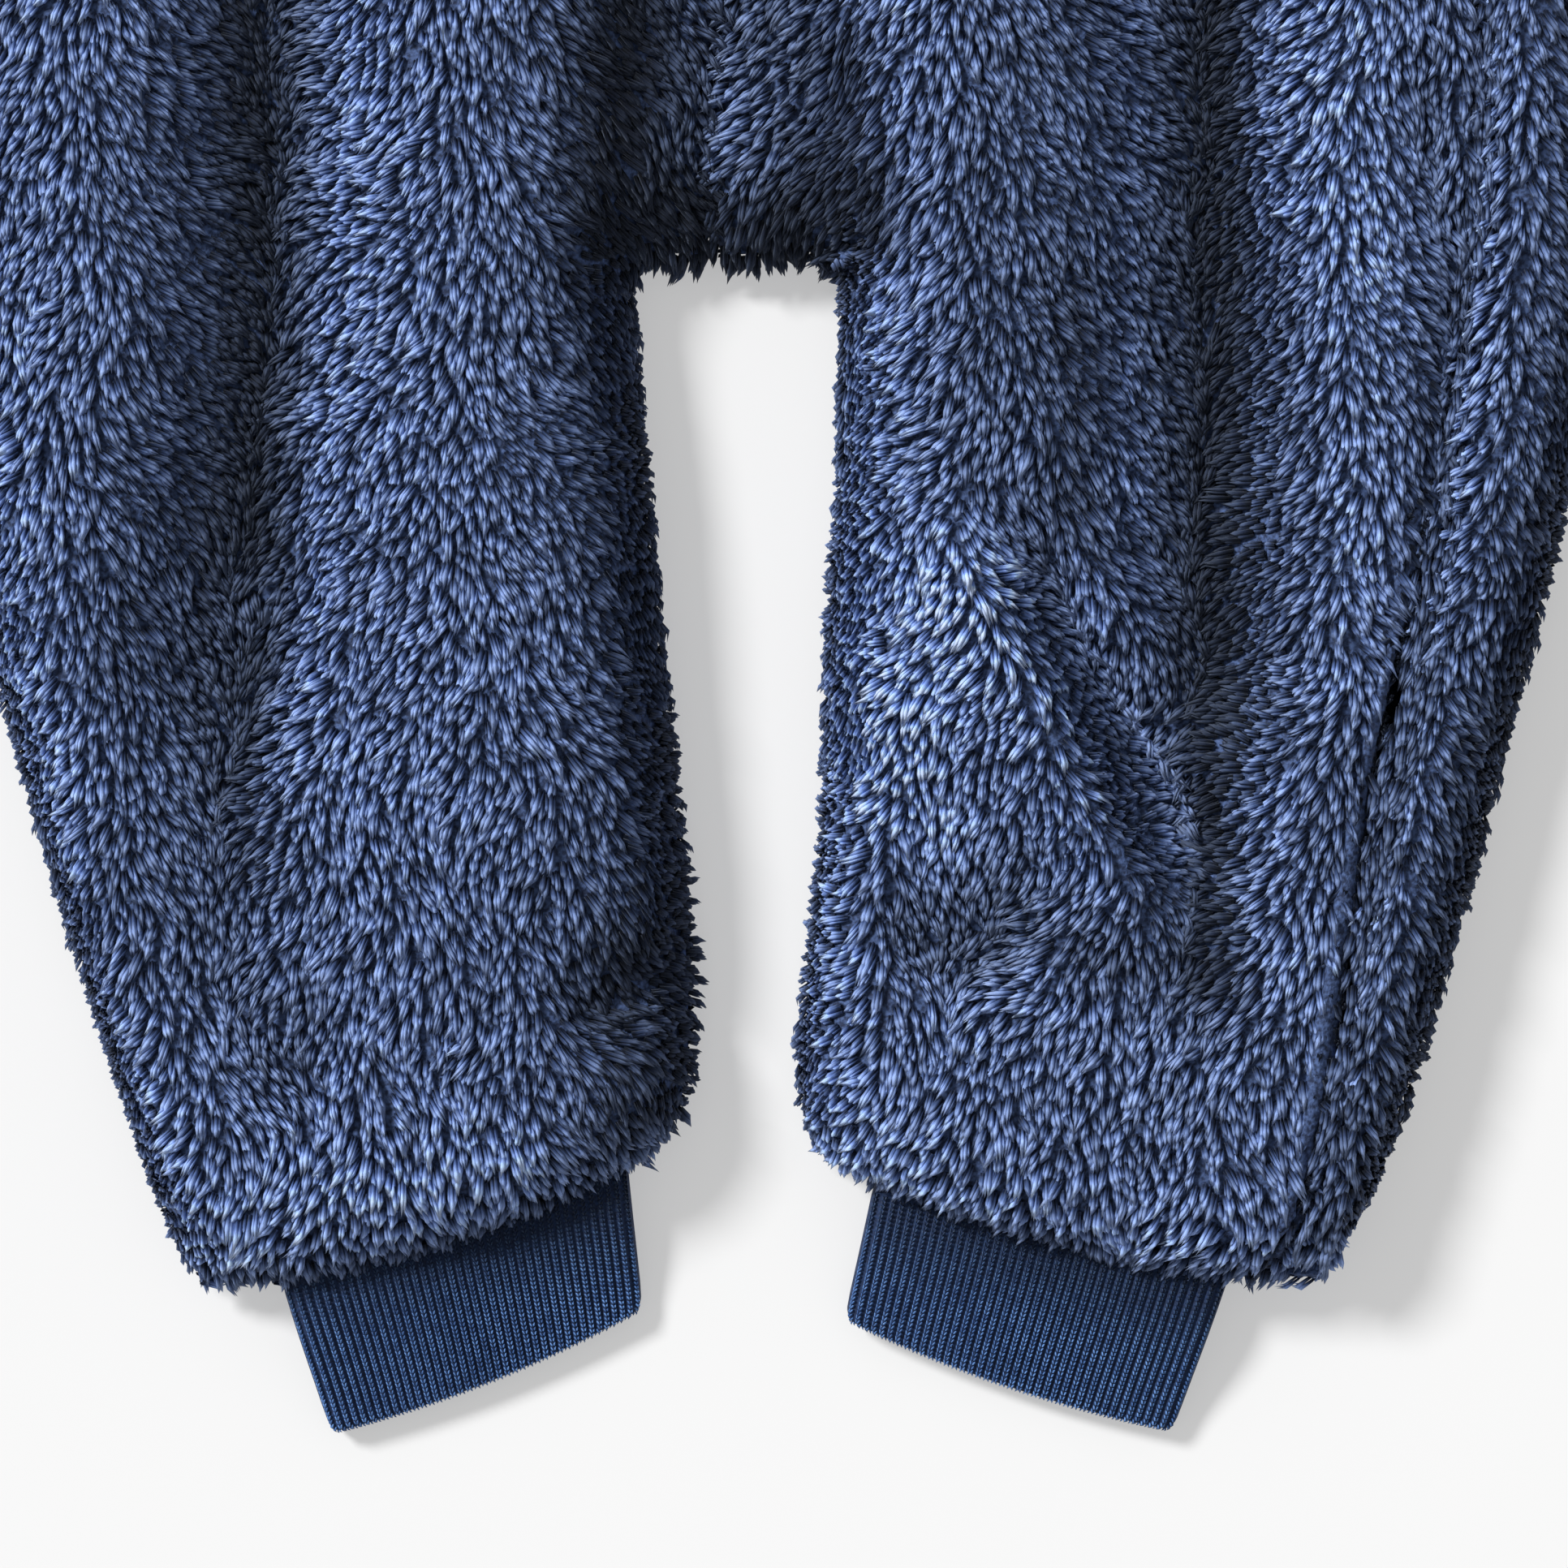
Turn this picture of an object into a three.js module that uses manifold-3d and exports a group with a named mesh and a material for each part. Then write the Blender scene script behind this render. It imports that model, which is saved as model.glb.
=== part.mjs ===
// A toddler's plush fleece onesie, laid flat on its back with its front up.
// Each leg and half of the body is one front panel and one back panel. The sleeves are tubes, set in at the
// armholes. Rib knit cuffs end the sleeves and the legs, a rib band stands at the neck, and a zip closes the front.
// Units are millimetres. +Y points to the head, +X to the wearer's left and +Z up from the surface it lies on.
import * as THREE from "three";
import Module from "manifold-3d";

const wasm = await Module();
wasm.setup();

// Driving dimensions
const CLOTH = 8; // fleece and its pile, as they lie
const SEAM_GAP = 0.3;
const SEAM_Z = 9; // height at which the front and the back meet
const EDGE_LIP = 0.8; // height of a panel's cut edge
const FRONT_ROUND = 20; // how far in from the outline the front rises
const BACK_ROUND = 13; // how far in from the outline the back curls up
const BODY_HEIGHT = 30;
const LEG_HEIGHT = 33;
const SLEEVE_HEIGHT = 29;
const CROTCH_Y = -106.8; // the row frame's origin is under the middle of the whole garment
const ZIP_HALF_GAP = 5;
const ZIP_FOOT_Y = 86;
const ZIP_TAPER = 18;
const SEAM_SHIFT = -7; // the centre seam has rolled towards the wearer's right at the crotch
const HIP_TRIM = 6; // the wearer's right hip lies this much narrower
const UNDERARM = [167, 298];
const SHOULDER = [141, 430];
const ARMHOLE_SAG = -14;
const ARMHOLE_GAP = 0.5;
const RIB_PITCH = 2.07;
const RIB_DEPTH = 0.45;
const RIB_WALL = 2.2;

// Small helpers
const clamp = (t, low = 0, high = 1) => Math.min(high, Math.max(low, t));
const mix = (a, b, t) => a + (b - a) * t;
const ease = (t) => {
  const c = clamp(t);
  return c * c * (3 - 2 * c);
};
const bump = (t) => Math.sqrt(1 - (1 - clamp(t)) ** 2);
const cubic = (a, b, c, d, t) => {
  const slopeB = (c - a) / 2;
  const slopeC = (d - b) / 2;
  const t2 = t * t;
  const t3 = t2 * t;
  return (
    b * (2 * t3 - 3 * t2 + 1) + slopeB * (t3 - 2 * t2 + t) + c * (3 * t2 - 2 * t3) + slopeC * (t3 - t2)
  );
};

// A point of a row that sags sideways in the middle like a shallow bow
function bowed(from, to, sag, u) {
  const dx = to[0] - from[0];
  const dy = to[1] - from[1];
  const length = Math.hypot(dx, dy) || 1;
  const offset = sag * 4 * u * (1 - u);
  return [from[0] + dx * u + (dy / length) * offset, from[1] + dy * u - (dx / length) * offset];
}

const armhole = (u) => bowed(UNDERARM, SHOULDER, ARMHOLE_SAG, u);

// Centre front: a groove for the zip, then a seam that drifts to one side
const seamX = (y) => SEAM_SHIFT * ease((ZIP_FOOT_Y - y) / 60);
const halfGap = (y) => mix(SEAM_GAP / 2, ZIP_HALF_GAP, ease((y - ZIP_FOOT_Y) / ZIP_TAPER));

// Rows across half of the body, from the shoulder down to the crotch. arm is a place on the armhole, from 1 at the
// shoulder to 0 at the underarm, and below it outX and outY give the side. between lists extra rows as shares of
// the way to the next one.
const BODY_ROWS = [
  { arm: 1, frontX: 62, frontY: 450, backX: 62, backY: 450, between: [0.05, 0.22, 0.55] },
  { arm: 0.75, frontX: 53, frontY: 424, backX: 44, backY: 443, between: [0.5] },
  { arm: 0.5, frontX: 35, frontY: 404, backX: 24, backY: 439, between: [0.5] },
  { arm: 0.25, frontX: 16, frontY: 396.5, backX: 8, backY: 438, between: [0.5] },
  { arm: 0, frontY: 394, backY: 437.6, between: [] },
  { outX: 168, outY: 268, frontY: 362, backY: 388, between: [0.5] },
  { outX: 170, outY: 235, frontY: 318, backY: 332, between: [0.5] },
  { outX: 173, outY: 200, frontY: 268, backY: 274, between: [0.5] },
  { outX: 178, outY: 160, frontY: 212, backY: 212, between: [0.5] },
  { outX: 184, outY: 124, frontY: 160, backY: 160, between: [0.5] },
  { outX: 189, outY: 96, frontY: 112, backY: 112, between: [] },
  { outX: 191, outY: 82, frontY: 86, backY: 86, sag: -1, between: [] },
  { outX: 193, outY: 66, frontY: 58, backY: 58, sag: -4, between: [] },
  { outX: 195, outY: 50, frontY: 34, backY: 34, sag: -7, between: [] },
  { outX: 196, outY: 38, frontY: 14, backY: 14, sag: -10, between: [] },
  { outX: 196, outY: 30, frontY: 4, backY: 4, sag: -12, between: [] },
  { outX: 196, outY: 22, frontY: -1.8, backY: -1.8, sag: -14, between: [] },
];

// Rows across each leg, from the crotch down to the hem
const LEFT_LEG_ROWS = [
  { inX: 3, inY: -1.3, outX: 196, outY: 12, sag: -15, between: [] },
  { inX: 12, inY: 0.4, outX: 195.5, outY: 2, sag: -15, between: [] },
  { inX: 18.5, inY: 1.6, outX: 194.5, outY: -10, sag: -12, between: [] },
  { inX: 19.6, inY: -6.3, outX: 192.5, outY: -26, sag: -8, between: [] },
  { inX: 19, inY: -24, outX: 189, outY: -48, sag: -4, between: [0.5] },
  { inX: 18.9, inY: -49.5, outX: 183.5, outY: -73, sag: -1, between: [0.5] },
  { inX: 16.6, inY: -76, outX: 177, outY: -97, between: [0.5] },
  { inX: 15.8, inY: -103, outX: 171, outY: -121, between: [0.5] },
  { inX: 14.5, inY: -130, outX: 165.5, outY: -142.5, between: [0.5] },
  { inX: 11.5, inY: -157.5, outX: 158.5, outY: -166, between: [0.5] },
  { inX: 9.5, inY: -176, outX: 152.5, outY: -188, sag: 1, between: [] },
  { inX: 10.2, inY: -188, outX: 147, outY: -203, sag: 3, between: [] },
  { inX: 13, inY: -194.5, outX: 142, outY: -213, sag: 4.5, between: [] },
  { inX: 16, inY: -198.7, outX: 137.5, outY: -221, sag: 5.5, between: [] },
  { inX: 20, inY: -201.5, outX: 131, outY: -228.5, sag: 6.5, between: [] },
];
const RIGHT_LEG_ROWS = [
  { inX: 14, inY: -1.2, outX: 190, outY: 10, sag: -14, between: [] },
  { inX: 20.5, inY: 0.3, outX: 189, outY: -2, sag: -11, between: [] },
  { inX: 21.6, inY: -6.3, outX: 187.5, outY: -16, sag: -8, between: [] },
  { inX: 19.9, inY: -22, outX: 184, outY: -35, sag: -4, between: [0.5] },
  { inX: 17.5, inY: -46, outX: 178.5, outY: -58, sag: -1, between: [0.5] },
  { inX: 15.5, inY: -72, outX: 172, outY: -83, between: [0.5] },
  { inX: 13, inY: -98, outX: 165, outY: -108, between: [0.5] },
  { inX: 10.2, inY: -125, outX: 158, outY: -132, between: [0.5] },
  { inX: 8, inY: -150, outX: 150.5, outY: -157, between: [0.5] },
  { inX: 7.3, inY: -170, outX: 143.5, outY: -179, sag: 1, between: [] },
  { inX: 8, inY: -184, outX: 137.5, outY: -198, sag: 3.5, between: [] },
  { inX: 11, inY: -191, outX: 133, outY: -210, sag: 5.5, between: [] },
  { inX: 15, inY: -195.5, outX: 128.5, outY: -220, sag: 7, between: [] },
  { inX: 20, inY: -199.6, outX: 123, outY: -229, sag: 7.5, between: [] },
];

// Rows across a sleeve, from the armhole to the wrist hem
const SLEEVE_ROWS = [
  { inX: 171, inY: 293, outX: 182, outY: 424, sag: -7, between: [] },
  { inX: 176, inY: 287, outX: 224, outY: 405, sag: -2, between: [] },
  { inX: 183, inY: 279, outX: 264, outY: 375, sag: 1, between: [0.5] },
  { inX: 204, inY: 254, outX: 290, outY: 331, sag: 2, between: [0.5] },
  { inX: 233, inY: 220, outX: 315, outY: 288, sag: 2, between: [0.5] },
  { inX: 261, inY: 185, outX: 338, outY: 247, sag: 2, between: [0.5] },
  { inX: 280, inY: 162, outX: 354, outY: 221, sag: 3, between: [] },
  { inX: 286, inY: 156, outX: 358.5, outY: 213, sag: 4, between: [] },
  { inX: 289.5, inY: 153, outX: 360, outY: 208, sag: 5, between: [] },
  { inX: 293, inY: 151, outX: 360, outY: 204, sag: 6, between: [] },
];

// How far the wearer's left side seam has rolled onto the front, by the height of the row's outer end
const ROLLED_SEAM = [
  { y: 250, inset: 0 },
  { y: 160, inset: 8 },
  { y: 90, inset: 20 },
  { y: 20, inset: 31 },
  { y: -110, inset: 30 },
  { y: -143, inset: 26 },
  { y: -190, inset: 20 },
  { y: -229, inset: 14 },
];
function rolledInset(y) {
  const next = ROLLED_SEAM.findIndex((row) => row.y <= y);
  if (next === 0) return 0;
  if (next < 0) return ROLLED_SEAM.at(-1).inset;
  const a = ROLLED_SEAM[next - 1];
  const b = ROLLED_SEAM[next];
  return mix(a.inset, b.inset, (a.y - y) / (a.y - b.y));
}

// Cuffs: the two ends of the line where each leaves the fleece, and the two ends of its free edge
const CUFFS = {
  ankle_cuff_left: { root: [[29.3, -207], [108.5, -227.7]], free: [[23.3, -235.3], [97.2, -260.5]] },
  ankle_cuff_right: { root: [[-102, -229], [-25.2, -200.7]], free: [[-92.2, -261], [-22, -233]] },
  wrist_cuff_left: { root: [[301, 159], [352.5, 200]], free: [[322, 132], [371.5, 170]] },
  wrist_cuff_right: { root: [[-352.5, 200], [-301, 159]], free: [[-371.5, 170], [-322, 132]] },
};
const CUFF_HALF = { root: 4, free: 3.5 };
const CUFF_Z = 9.7; // level of a cuff's middle where it leaves the fleece
const CUFF_ROOM = 1.3; // the hem opens by this much more than half the cuff's thickness
const CUFF_PRESS = 0.65; // share of that lift by which the cuff presses into the cloth under it
const CUFF_HIDDEN = 10; // length held inside the hem
const CUFF_LEVEL = 5; // length outside the hem before the cuff droops

// Folds: a bowed line through three places, the half width of the fold and how far it rises or sinks
const FOLDS = [
  { name: "right inner roll", x1: -63, y1: 90, x2: -56, y2: -31, x3: -48, y3: -165, width: 26, rise: 5 },
  { name: "right knee valley", x1: -103, y1: 130, x2: -104, y2: 0, x3: -119, y3: -128, width: 13, rise: -11 },
  { name: "right outer roll", x1: -137, y1: 90, x2: -143, y2: -14, x3: -147, y3: -100, width: 17, rise: 4 },
  { name: "right ankle dimple", x1: -40, y1: -168, x2: -27, y2: -163, x3: -12, y3: -157, width: 8, rise: -6 },
  { name: "right shin flat", x1: -125, y1: -140, x2: -108, y2: -162, x3: -88, y3: -178, width: 20, rise: -4 },
  { name: "left inner roll", x1: 47, y1: 90, x2: 52, y2: -31, x3: 38, y3: -125, width: 22, rise: 5 },
  { name: "left main valley", x1: 100, y1: 140, x2: 100, y2: 0, x3: 98, y3: -142, width: 14, rise: -12 },
  { name: "left outer roll", x1: 131, y1: 90, x2: 132, y2: -50, x3: 122, y3: -140, width: 16, rise: 4 },
  { name: "left knee crease", x1: 56, y1: -58, x2: 77, y2: -94, x3: 104, y3: -150, width: 6, rise: -6 },
  { name: "left crease lip", x1: 45, y1: -66, x2: 67, y2: -104, x3: 94, y3: -152, width: 10, rise: 3 },
  { name: "left shin dip", x1: 30, y1: -132, x2: 48, y2: -140, x3: 68, y3: -146, width: 17, rise: -4 },
  { name: "waist trough left", x1: 45, y1: 176, x2: 98, y2: 158, x3: 165, y3: 122, width: 12, rise: -5 },
  { name: "waist trough right", x1: -60, y1: 158, x2: -105, y2: 176, x3: -160, y3: 186, width: 12, rise: -5 },
  { name: "chest trough left", x1: 60, y1: 240, x2: 95, y2: 262, x3: 150, y3: 306, width: 12, rise: -4 },
  { name: "chest trough right", x1: -48, y1: 262, x2: -92, y2: 280, x3: -146, y3: 312, width: 13, rise: -4 },
  { name: "armhole seam left", x1: 141, y1: 430, x2: 139, y2: 364, x3: 167, y3: 298, width: 5, rise: -4 },
  { name: "armhole seam right", x1: -141, y1: 430, x2: -139, y2: 364, x3: -167, y3: 298, width: 5, rise: -4 },
  { name: "elbow trough left", x1: 205, y1: 290, x2: 240, y2: 290, x3: 276, y3: 306, width: 10, rise: -4 },
  { name: "elbow trough right", x1: -210, y1: 276, x2: -246, y2: 282, x3: -280, y3: 300, width: 10, rise: -4 },
  { name: "forearm trough left", x1: 252, y1: 214, x2: 276, y2: 226, x3: 306, y3: 236, width: 9, rise: -3 },
  { name: "forearm trough right", x1: -262, y1: 200, x2: -284, y2: 218, x3: -316, y3: 222, width: 9, rise: -3 },
];
const FOLD_STEPS = 14;
const FOLD_FADE = 0.18;
for (const fold of FOLDS) {
  const control = [
    2 * fold.x2 - (fold.x1 + fold.x3) / 2,
    2 * fold.y2 - (fold.y1 + fold.y3) / 2,
  ];
  fold.line = new THREE.QuadraticBezierCurve(
    new THREE.Vector2(fold.x1, fold.y1),
    new THREE.Vector2(...control),
    new THREE.Vector2(fold.x3, fold.y3),
  ).getPoints(FOLD_STEPS);
}

// Distance from a place to a line of points, and the share of the line at its nearest place
function nearest(x, y, line) {
  const best = { distance: Infinity, share: 0 };
  for (let i = 0; i + 1 < line.length; i++) {
    const a = line[i];
    const dx = line[i + 1].x - a.x;
    const dy = line[i + 1].y - a.y;
    const t = clamp(((x - a.x) * dx + (y - a.y) * dy) / (dx * dx + dy * dy || 1));
    const distance = Math.hypot(x - a.x - dx * t, y - a.y - dy * t);
    if (distance < best.distance) {
      best.distance = distance;
      best.share = (i + t) / (line.length - 1);
    }
  }
  return best;
}

// The crotch lies deep between the two leg rolls
const CROTCH_LINE = [new THREE.Vector2(-2, 0), new THREE.Vector2(-2, 78)];
const CROTCH_HALF = 25;
const CROTCH_DEPTH = 12;
function crotchDip(x, y) {
  const { distance } = nearest(x, y, CROTCH_LINE);
  const fade = ease((118 - y) / 60);
  return CROTCH_DEPTH * fade * Math.exp(-((distance / CROTCH_HALF) ** 4));
}

// Height of the cloth's crown over a place, before it rounds down to the outline
const SLEEVE_START_X = 165;
const LOWEST_CROWN = 20;
function crown(x, y) {
  const legShare = ease((60 - y) / 120);
  const sleeveShare = y > 120 ? ease((Math.abs(x) - SLEEVE_START_X) / 60) : 0;
  let height = mix(mix(BODY_HEIGHT, LEG_HEIGHT, legShare), SLEEVE_HEIGHT, sleeveShare);
  for (const fold of FOLDS) {
    const { distance, share } = nearest(x, y, fold.line);
    if (distance > 3 * fold.width) continue;
    const fade = ease(share / FOLD_FADE) * ease((1 - share) / FOLD_FADE);
    height += fold.rise * mix(0.25, 1, fade) * Math.exp(-((distance / fold.width) ** 2));
  }
  return Math.max(LOWEST_CROWN, height - crotchDip(x, y));
}

// How far the hems part to take the cuffs
function cuffLift(x, y) {
  let lift = 0;
  for (const { root, free } of Object.values(CUFFS)) {
    const [a, b] = root;
    const half = Math.hypot(b[0] - a[0], b[1] - a[1]) / 2;
    const across = [(b[0] - a[0]) / (2 * half), (b[1] - a[1]) / (2 * half)];
    const centre = [(a[0] + b[0]) / 2, (a[1] + b[1]) / 2];
    const out = [(free[0][0] + free[1][0]) / 2 - centre[0], (free[0][1] + free[1][1]) / 2 - centre[1]];
    const reach = Math.hypot(...out);
    const side = Math.abs((x - centre[0]) * across[0] + (y - centre[1]) * across[1]);
    const along = ((x - centre[0]) * out[0] + (y - centre[1]) * out[1]) / reach;
    const sideShare = 1 - ease((side - half - 3) / 15);
    const alongShare = ease((along + 28) / 14);
    lift = Math.max(lift, (CUFF_HALF.root + CUFF_ROOM) * sideShare * alongShare);
  }
  return lift;
}

// Each face's height over a place that lies a distance in from the outline
const seamTop = (p) => SEAM_Z + SEAM_GAP / 2 + cuffLift(p.x, p.y);
const seamUnder = (p) => SEAM_Z - SEAM_GAP / 2 - cuffLift(p.x, p.y);
const faces = {
  frontOuter: (p) =>
    mix(seamTop(p) + EDGE_LIP, crown(p.x, p.y), bump(p.edge / FRONT_ROUND)),
  frontInner: (p) =>
    mix(seamTop(p), crown(p.x, p.y) - CLOTH, bump((p.edge - CLOTH) / (FRONT_ROUND - CLOTH))),
  backOuter: (p) => (seamUnder(p) - EDGE_LIP) * (1 - bump(p.edge / BACK_ROUND)),
  backInner: (p) =>
    mix(seamUnder(p), CLOTH - CUFF_PRESS * cuffLift(p.x, p.y), ease((p.edge - CLOTH) / 12)),
};
// Where one cloth runs round an edge, its upper and lower halves share this much height
const FUSE = 0.3;
const fused = {
  upper: (p) => faces.frontInner(p) - (SEAM_GAP / 2 + FUSE),
  lower: (p) => faces.backInner(p) + SEAM_GAP / 2 + FUSE,
};

// Rows with both ends, filled in between where the table asks for it
function fillRows(table, everywhere) {
  const rows = [];
  const keys = ["inX", "inY", "outX", "outY", "sag", "arm"];
  table.forEach((row, i) => {
    rows.push(row);
    if (i + 1 === table.length || !(everywhere || row.arm > 0)) return;
    for (const t of row.between) {
      const made = {};
      for (const key of keys) {
        const at = (k) => table[clamp(k, 0, table.length - 1)][key];
        made[key] = cubic(at(i - 1), at(i), at(i + 1), at(i + 2), t);
      }
      made.arm = mix(row.arm, table[i + 1].arm, t);
      made.leg = row.leg;
      made.extra = row.arm < 0;
      rows.push(made);
    }
  });
  for (const row of rows) if (row.arm > 0) [row.outX, row.outY] = armhole(row.arm);
  return rows;
}

// side is 1 for the wearer's left and -1 for the right. layer is front or back.
function bodyTable(side, layer) {
  const legRows = side > 0 ? LEFT_LEG_ROWS : RIGHT_LEG_ROWS;
  const body = BODY_ROWS.map((row) => {
    const out = row.arm === undefined ? [row.outX, row.outY] : armhole(row.arm);
    const inY = row[layer + "Y"];
    const gap = layer === "front" ? halfGap(inY) : SEAM_GAP / 2;
    const trim = side < 0 ? HIP_TRIM * ease((150 - out[1]) / 80) : 0;
    return {
      inX: row[layer + "X"] ?? side * seamX(inY) + gap,
      inY,
      outX: out[0] - trim,
      outY: out[1],
      sag: row.sag ?? 0,
      arm: row.arm ?? -1,
      between: row.between,
      leg: false,
    };
  });
  return [...body, ...legRows.map((row) => ({ sag: 0, arm: -1, leg: true, ...row }))];
}

function sleeveTable() {
  const start = { inX: UNDERARM[0], inY: UNDERARM[1], outX: SHOULDER[0], outY: SHOULDER[1] };
  const first = {
    ...start,
    inX: start.inX + ARMHOLE_GAP,
    outX: start.outX + ARMHOLE_GAP,
    sag: ARMHOLE_SAG,
    arm: -1,
    between: [0.5],
  };
  return [first, ...SLEEVE_ROWS.map((row) => ({ arm: -1, ...row }))];
}

// The outline that the cloth rounds down to, as lines of points on both sides
const OUTLINE_STEPS = 3;
function smoothLine(points) {
  const curve = new THREE.SplineCurve(points.map((p) => new THREE.Vector2(...p)));
  return curve.getPoints((points.length - 1) * OUTLINE_STEPS);
}
function bowLine(row, steps, side) {
  const made = [];
  for (let i = 0; i <= steps; i++) {
    const [x, y] = bowed([row.inX, row.inY], [row.outX, row.outY], row.sag, i / steps);
    made.push(new THREE.Vector2(side * x, y));
  }
  return made;
}
const outline = [];
for (const side of [1, -1]) {
  const rows = bodyTable(side, "front");
  const crotch = BODY_ROWS.length - 1;
  const sleeve = sleeveTable();
  const place = (row, end) => [side * row[end + "X"], row[end + "Y"]];
  outline.push(
    bowLine(rows[0], 2, side),
    smoothLine(rows.filter((row) => !(row.arm > 0)).map((row) => place(row, "out"))),
    rows.slice(crotch, crotch + 4).map((row) => new THREE.Vector2(...place(row, "in"))),
    smoothLine(rows.slice(crotch + 3).map((row) => place(row, "in"))),
    bowLine(rows.at(-1), 16, side),
    smoothLine(sleeve.map((row) => place(row, "in"))),
    smoothLine(sleeve.map((row) => place(row, "out"))),
    bowLine(sleeve.at(-1), 12, side),
  );
}
function edgeDistance(x, y) {
  let least = Infinity;
  for (const line of outline) least = Math.min(least, nearest(x, y, line).distance);
  return least;
}

// A grid of plan points over rows. columns gives each row's distances from its inner end.
function planGrid(rows, side, columns) {
  return rows.map((row, index) => {
    const length = Math.hypot(row.outX - row.inX, row.outY - row.inY);
    return columns(row, length, index).map(({ at, onEdge }) => {
      const [x, y] = bowed([row.inX, row.inY], [row.outX, row.outY], row.sag, at / length);
      return { x: side * x, y, edge: onEdge ? 0 : edgeDistance(side * x, y) };
    });
  });
}

// Column places: close together near the edges, even in between
function spread(inner, outer, count, from, to) {
  const places = inner.map((at) => ({ at: from + at, onEdge: false }));
  const start = from + inner.at(-1);
  const end = to - outer.at(-1);
  for (let i = 1; i <= count; i++) places.push({ at: mix(start, end, i / (count + 1)), onEdge: false });
  for (const at of [...outer].reverse()) places.push({ at: to - at, onEdge: false });
  return places;
}

// A strip of triangles between two lines of points that need not have the same number of points
function stitch(lineA, lineB, points) {
  const shares = (line) => {
    const sums = [0];
    for (let i = 0; i + 1 < line.length; i++) {
      const [a, b] = [points[line[i]], points[line[i + 1]]];
      sums.push(sums[i] + Math.hypot(a[0] - b[0], a[1] - b[1], a[2] - b[2]));
    }
    return sums.map((sum) => sum / (sums.at(-1) || 1));
  };
  const [atA, atB] = [shares(lineA), shares(lineB)];
  const made = [];
  let i = 0;
  let j = 0;
  while (i + 1 < lineA.length || j + 1 < lineB.length) {
    const stepA = j + 1 === lineB.length || (i + 1 < lineA.length && atA[i + 1] <= atB[j + 1]);
    made.push(stepA ? [lineA[i], lineA[i + 1], lineB[j]] : [lineA[i], lineB[j + 1], lineB[j]]);
    if (stepA) i += 1;
    else j += 1;
  }
  return made;
}

// A closed mesh between an outer face over one grid and an inner face over the same grid or a coarser one
function clothWall(grid, outer, inner, innerGrid = grid) {
  const points = [];
  const faceList = [];
  const sheets = [[grid, outer], [innerGrid, inner]].map(([rows, face]) => {
    const index = rows.map((row) => row.map((p) => points.push([p.x, p.y, face(p)]) - 1));
    for (let r = 0; r + 1 < index.length; r++) {
      for (let c = 0; c + 1 < index[0].length; c++) {
        const quad = [index[r][c], index[r][c + 1], index[r + 1][c + 1], index[r + 1][c]];
        faceList.push(face === outer ? quad : quad.reverse());
      }
    }
    return {
      first: index[0],
      last: index.at(-1),
      start: index.map((row) => row[0]),
      end: index.map((row) => row.at(-1)),
    };
  });
  const [top, under] = sheets;
  for (const side of ["first", "end"])
    for (const [a, b, c] of stitch(top[side], under[side], points)) faceList.push([a, c, b]);
  for (const side of ["last", "start"]) faceList.push(...stitch(top[side], under[side], points));
  return closedSolid(points, faceList);
}
const everyOther = (list) => list.filter((_, i) => i % 2 === 0 || i === list.length - 1);
const coarser = (grid, rows) => grid.filter((_, i) => !rows[i].extra).map(everyOther);

// A solid from corner points and faces of three or four corners
function closedSolid(points, faceList) {
  const merged = [];
  const seen = new Map();
  const index = points.map((p) => {
    const key = p.map((v) => v.toFixed(4)).join();
    if (!seen.has(key)) {
      seen.set(key, merged.length);
      merged.push(p);
    }
    return seen.get(key);
  });
  let triangles = [];
  for (const face of faceList) {
    const [a, b, c, d] = face.map((i) => index[i]);
    triangles.push([a, b, c]);
    if (d !== undefined) triangles.push([a, c, d]);
  }
  triangles = triangles.filter(([a, b, c]) => a !== b && b !== c && c !== a);
  let volume = 0;
  for (const [a, b, c] of triangles) {
    const [p, q, r] = [a, b, c].map((i) => new THREE.Vector3(...merged[i]));
    volume += p.dot(q.cross(r));
  }
  if (volume < 0) triangles = triangles.map(([a, b, c]) => [a, c, b]);
  return new wasm.Manifold(
    new wasm.Mesh({
      numProp: 3,
      vertProperties: new Float32Array(merged.flat()),
      triVerts: new Uint32Array(triangles.flat()),
    }),
  );
}

// Panels of the body and legs
const LEG_INNER = [0, 1, 3, 6, 9, 14, 22];
const CENTRE_INNER = [0, 8, 16, 24.3, 34.3, 39.3, 47.3];
const OUTER = [0, 1.5, 6, 13, 22];
const FRONT_MIDDLE = 9;
const BACK_ENDS = [0, 2, 7, 14, 21];
const BACK_MIDDLE = 2;

// Columns keep their places as the rows leave the centre seam, until they crowd the leg's inner edge
const innerColumns = (row, seam) =>
  LEG_INNER.map((least, i) => Math.max(least, CENTRE_INNER[i] - (row.leg ? row.inX - seam : 0)));

function markEdges(places, innerOnEdge, outerOnEdge) {
  places[0].onEdge = innerOnEdge;
  places.at(-1).onEdge = outerOnEdge;
  return places;
}

// A front panel is cut in one piece. Here it is parted at a row across the hip, which keeps both solids simple.
const HIP_Y = 58;
function partedAtHip(grid, rows) {
  const hip = rows.findIndex((row) => row.inY === HIP_Y);
  const moved = (by) => grid[hip].map((p) => ({ ...p, y: p.y + by }));
  return [
    { grid: [...grid.slice(0, hip), moved(SEAM_GAP / 2)], rows: rows.slice(0, hip + 1) },
    { grid: [moved(-SEAM_GAP / 2), ...grid.slice(hip + 1)], rows: rows.slice(hip) },
  ];
}

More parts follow.
